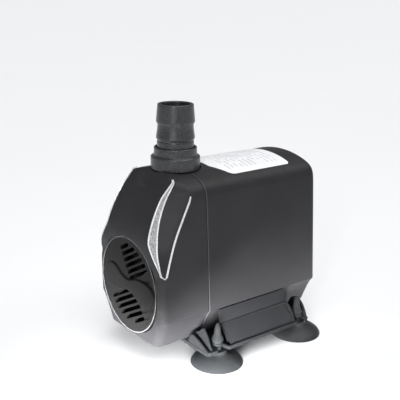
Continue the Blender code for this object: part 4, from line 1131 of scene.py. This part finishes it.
def build_camera():
    azimuth, elevation, roll = (math.radians(a) for a in (CAMERA_AZIMUTH, CAMERA_ELEVATION, CAMERA_ROLL))
    back = Vector((math.sin(azimuth) * math.cos(elevation), -math.cos(azimuth) * math.cos(elevation),
                   math.sin(elevation)))
    right = Vector((math.cos(azimuth), math.sin(azimuth), 0.0))
    up = back.cross(right)
    turned_right = right * math.cos(roll) + up * math.sin(roll)
    turned_up = up * math.cos(roll) - right * math.sin(roll)
    data = bpy.data.cameras.new("camera")
    data.lens = CAMERA_LENS
    data.sensor_width = 36.0
    camera = bpy.data.objects.new("camera", data)
    bpy.context.scene.collection.objects.link(camera)
    place = (Vector(CAMERA_TARGET) + back * CAMERA_DISTANCE) * MM
    rows = [(turned_right[i], turned_up[i], back[i], place[i]) for i in range(3)]
    camera.matrix_world = Matrix(rows + [(0, 0, 0, 1)])
    data.clip_start = 0.01
    data.clip_end = 50.0
    bpy.context.scene.camera = camera


# Low lights near the floor and one key light:
# name, place, aim, width, height, watts, spread in degrees, seen in reflections
LIGHTS = (("low_front", (0.095, -0.135, 0.003), (0.02, -0.055, 0.006), 0.16, 0.012, 0.66, 60, False),
          ("low_fill", (0.34, -0.36, 0.05), (0.03, -0.02, 0.03), 0.50, 0.08, 0.25, 90, False),
          ("low_rear", (0.12, 0.12, 0.004), (0.036, 0.068, 0.027), 0.05, 0.01, 0.035, 50, False),
          ("key", (0.42, -0.50, 0.38), (0.0, -0.045, 0.15), 0.06, 0.30, 0.15, 60, True))
SUN_STRENGTH = 2.85
SUN_ANGLE = math.radians(70)
SUN_TILT = math.radians(12)
FLOOR_HALF = 20000


def area_light(name, place, aim, width, height, power, spread, glossy):
    data = bpy.data.lights.new(name, "AREA")
    data.shape = "RECTANGLE"
    data.size = width
    data.size_y = height
    data.energy = power
    data.spread = math.radians(spread)
    light = bpy.data.objects.new(name, data)
    bpy.context.scene.collection.objects.link(light)
    light.location = place
    light.rotation_mode = "QUATERNION"
    light.rotation_quaternion = (Vector(aim) - Vector(place)).to_track_quat("-Z", "Y")
    light.visible_camera = False
    light.visible_glossy = glossy


def build_studio():
    scene = bpy.context.scene
    scene.view_settings.view_transform = "Standard"
    world = bpy.data.worlds.new("studio")
    world.use_nodes = True
    background = world.node_tree.nodes["Background"]
    background.inputs["Color"].default_value = (0.55, 0.56, 0.58, 1.0)
    background.inputs["Strength"].default_value = 0.45
    scene.world = world
    corners = [(x * FLOOR_HALF, y * FLOOR_HALF, 0) for x, y in ((-1, -1), (1, -1), (1, 1), (-1, 1))]
    floor = add_mesh("floor", corners, [(0, 1, 2, 3)])
    paint = Paint("floor_white", (0.86, 0.865, 0.87), 0.6)
    paint.tint(paint.ramp(paint.noise(300.0), 0.3, 0.7, 0.0, 0.3), (0.84, 0.845, 0.85))
    floor.data.materials.append(paint.material)
    sun = bpy.data.lights.new("overhead", "SUN")
    sun.energy = SUN_STRENGTH
    sun.angle = SUN_ANGLE
    overhead = bpy.data.objects.new("overhead", sun)
    scene.collection.objects.link(overhead)
    overhead.rotation_euler = (-SUN_TILT, SUN_TILT, 0)
    for light in LIGHTS:
        area_light(*light)


build_housing()
build_rear()
build_cover()
build_dial()
build_trim("trim_right_foil", 1, "trim_right")
build_trim("trim_left_foil", -1, "trim_left")
build_outlet()
build_foot()
build_cups()
build_label()
dress_inside()
build_camera()
build_studio()
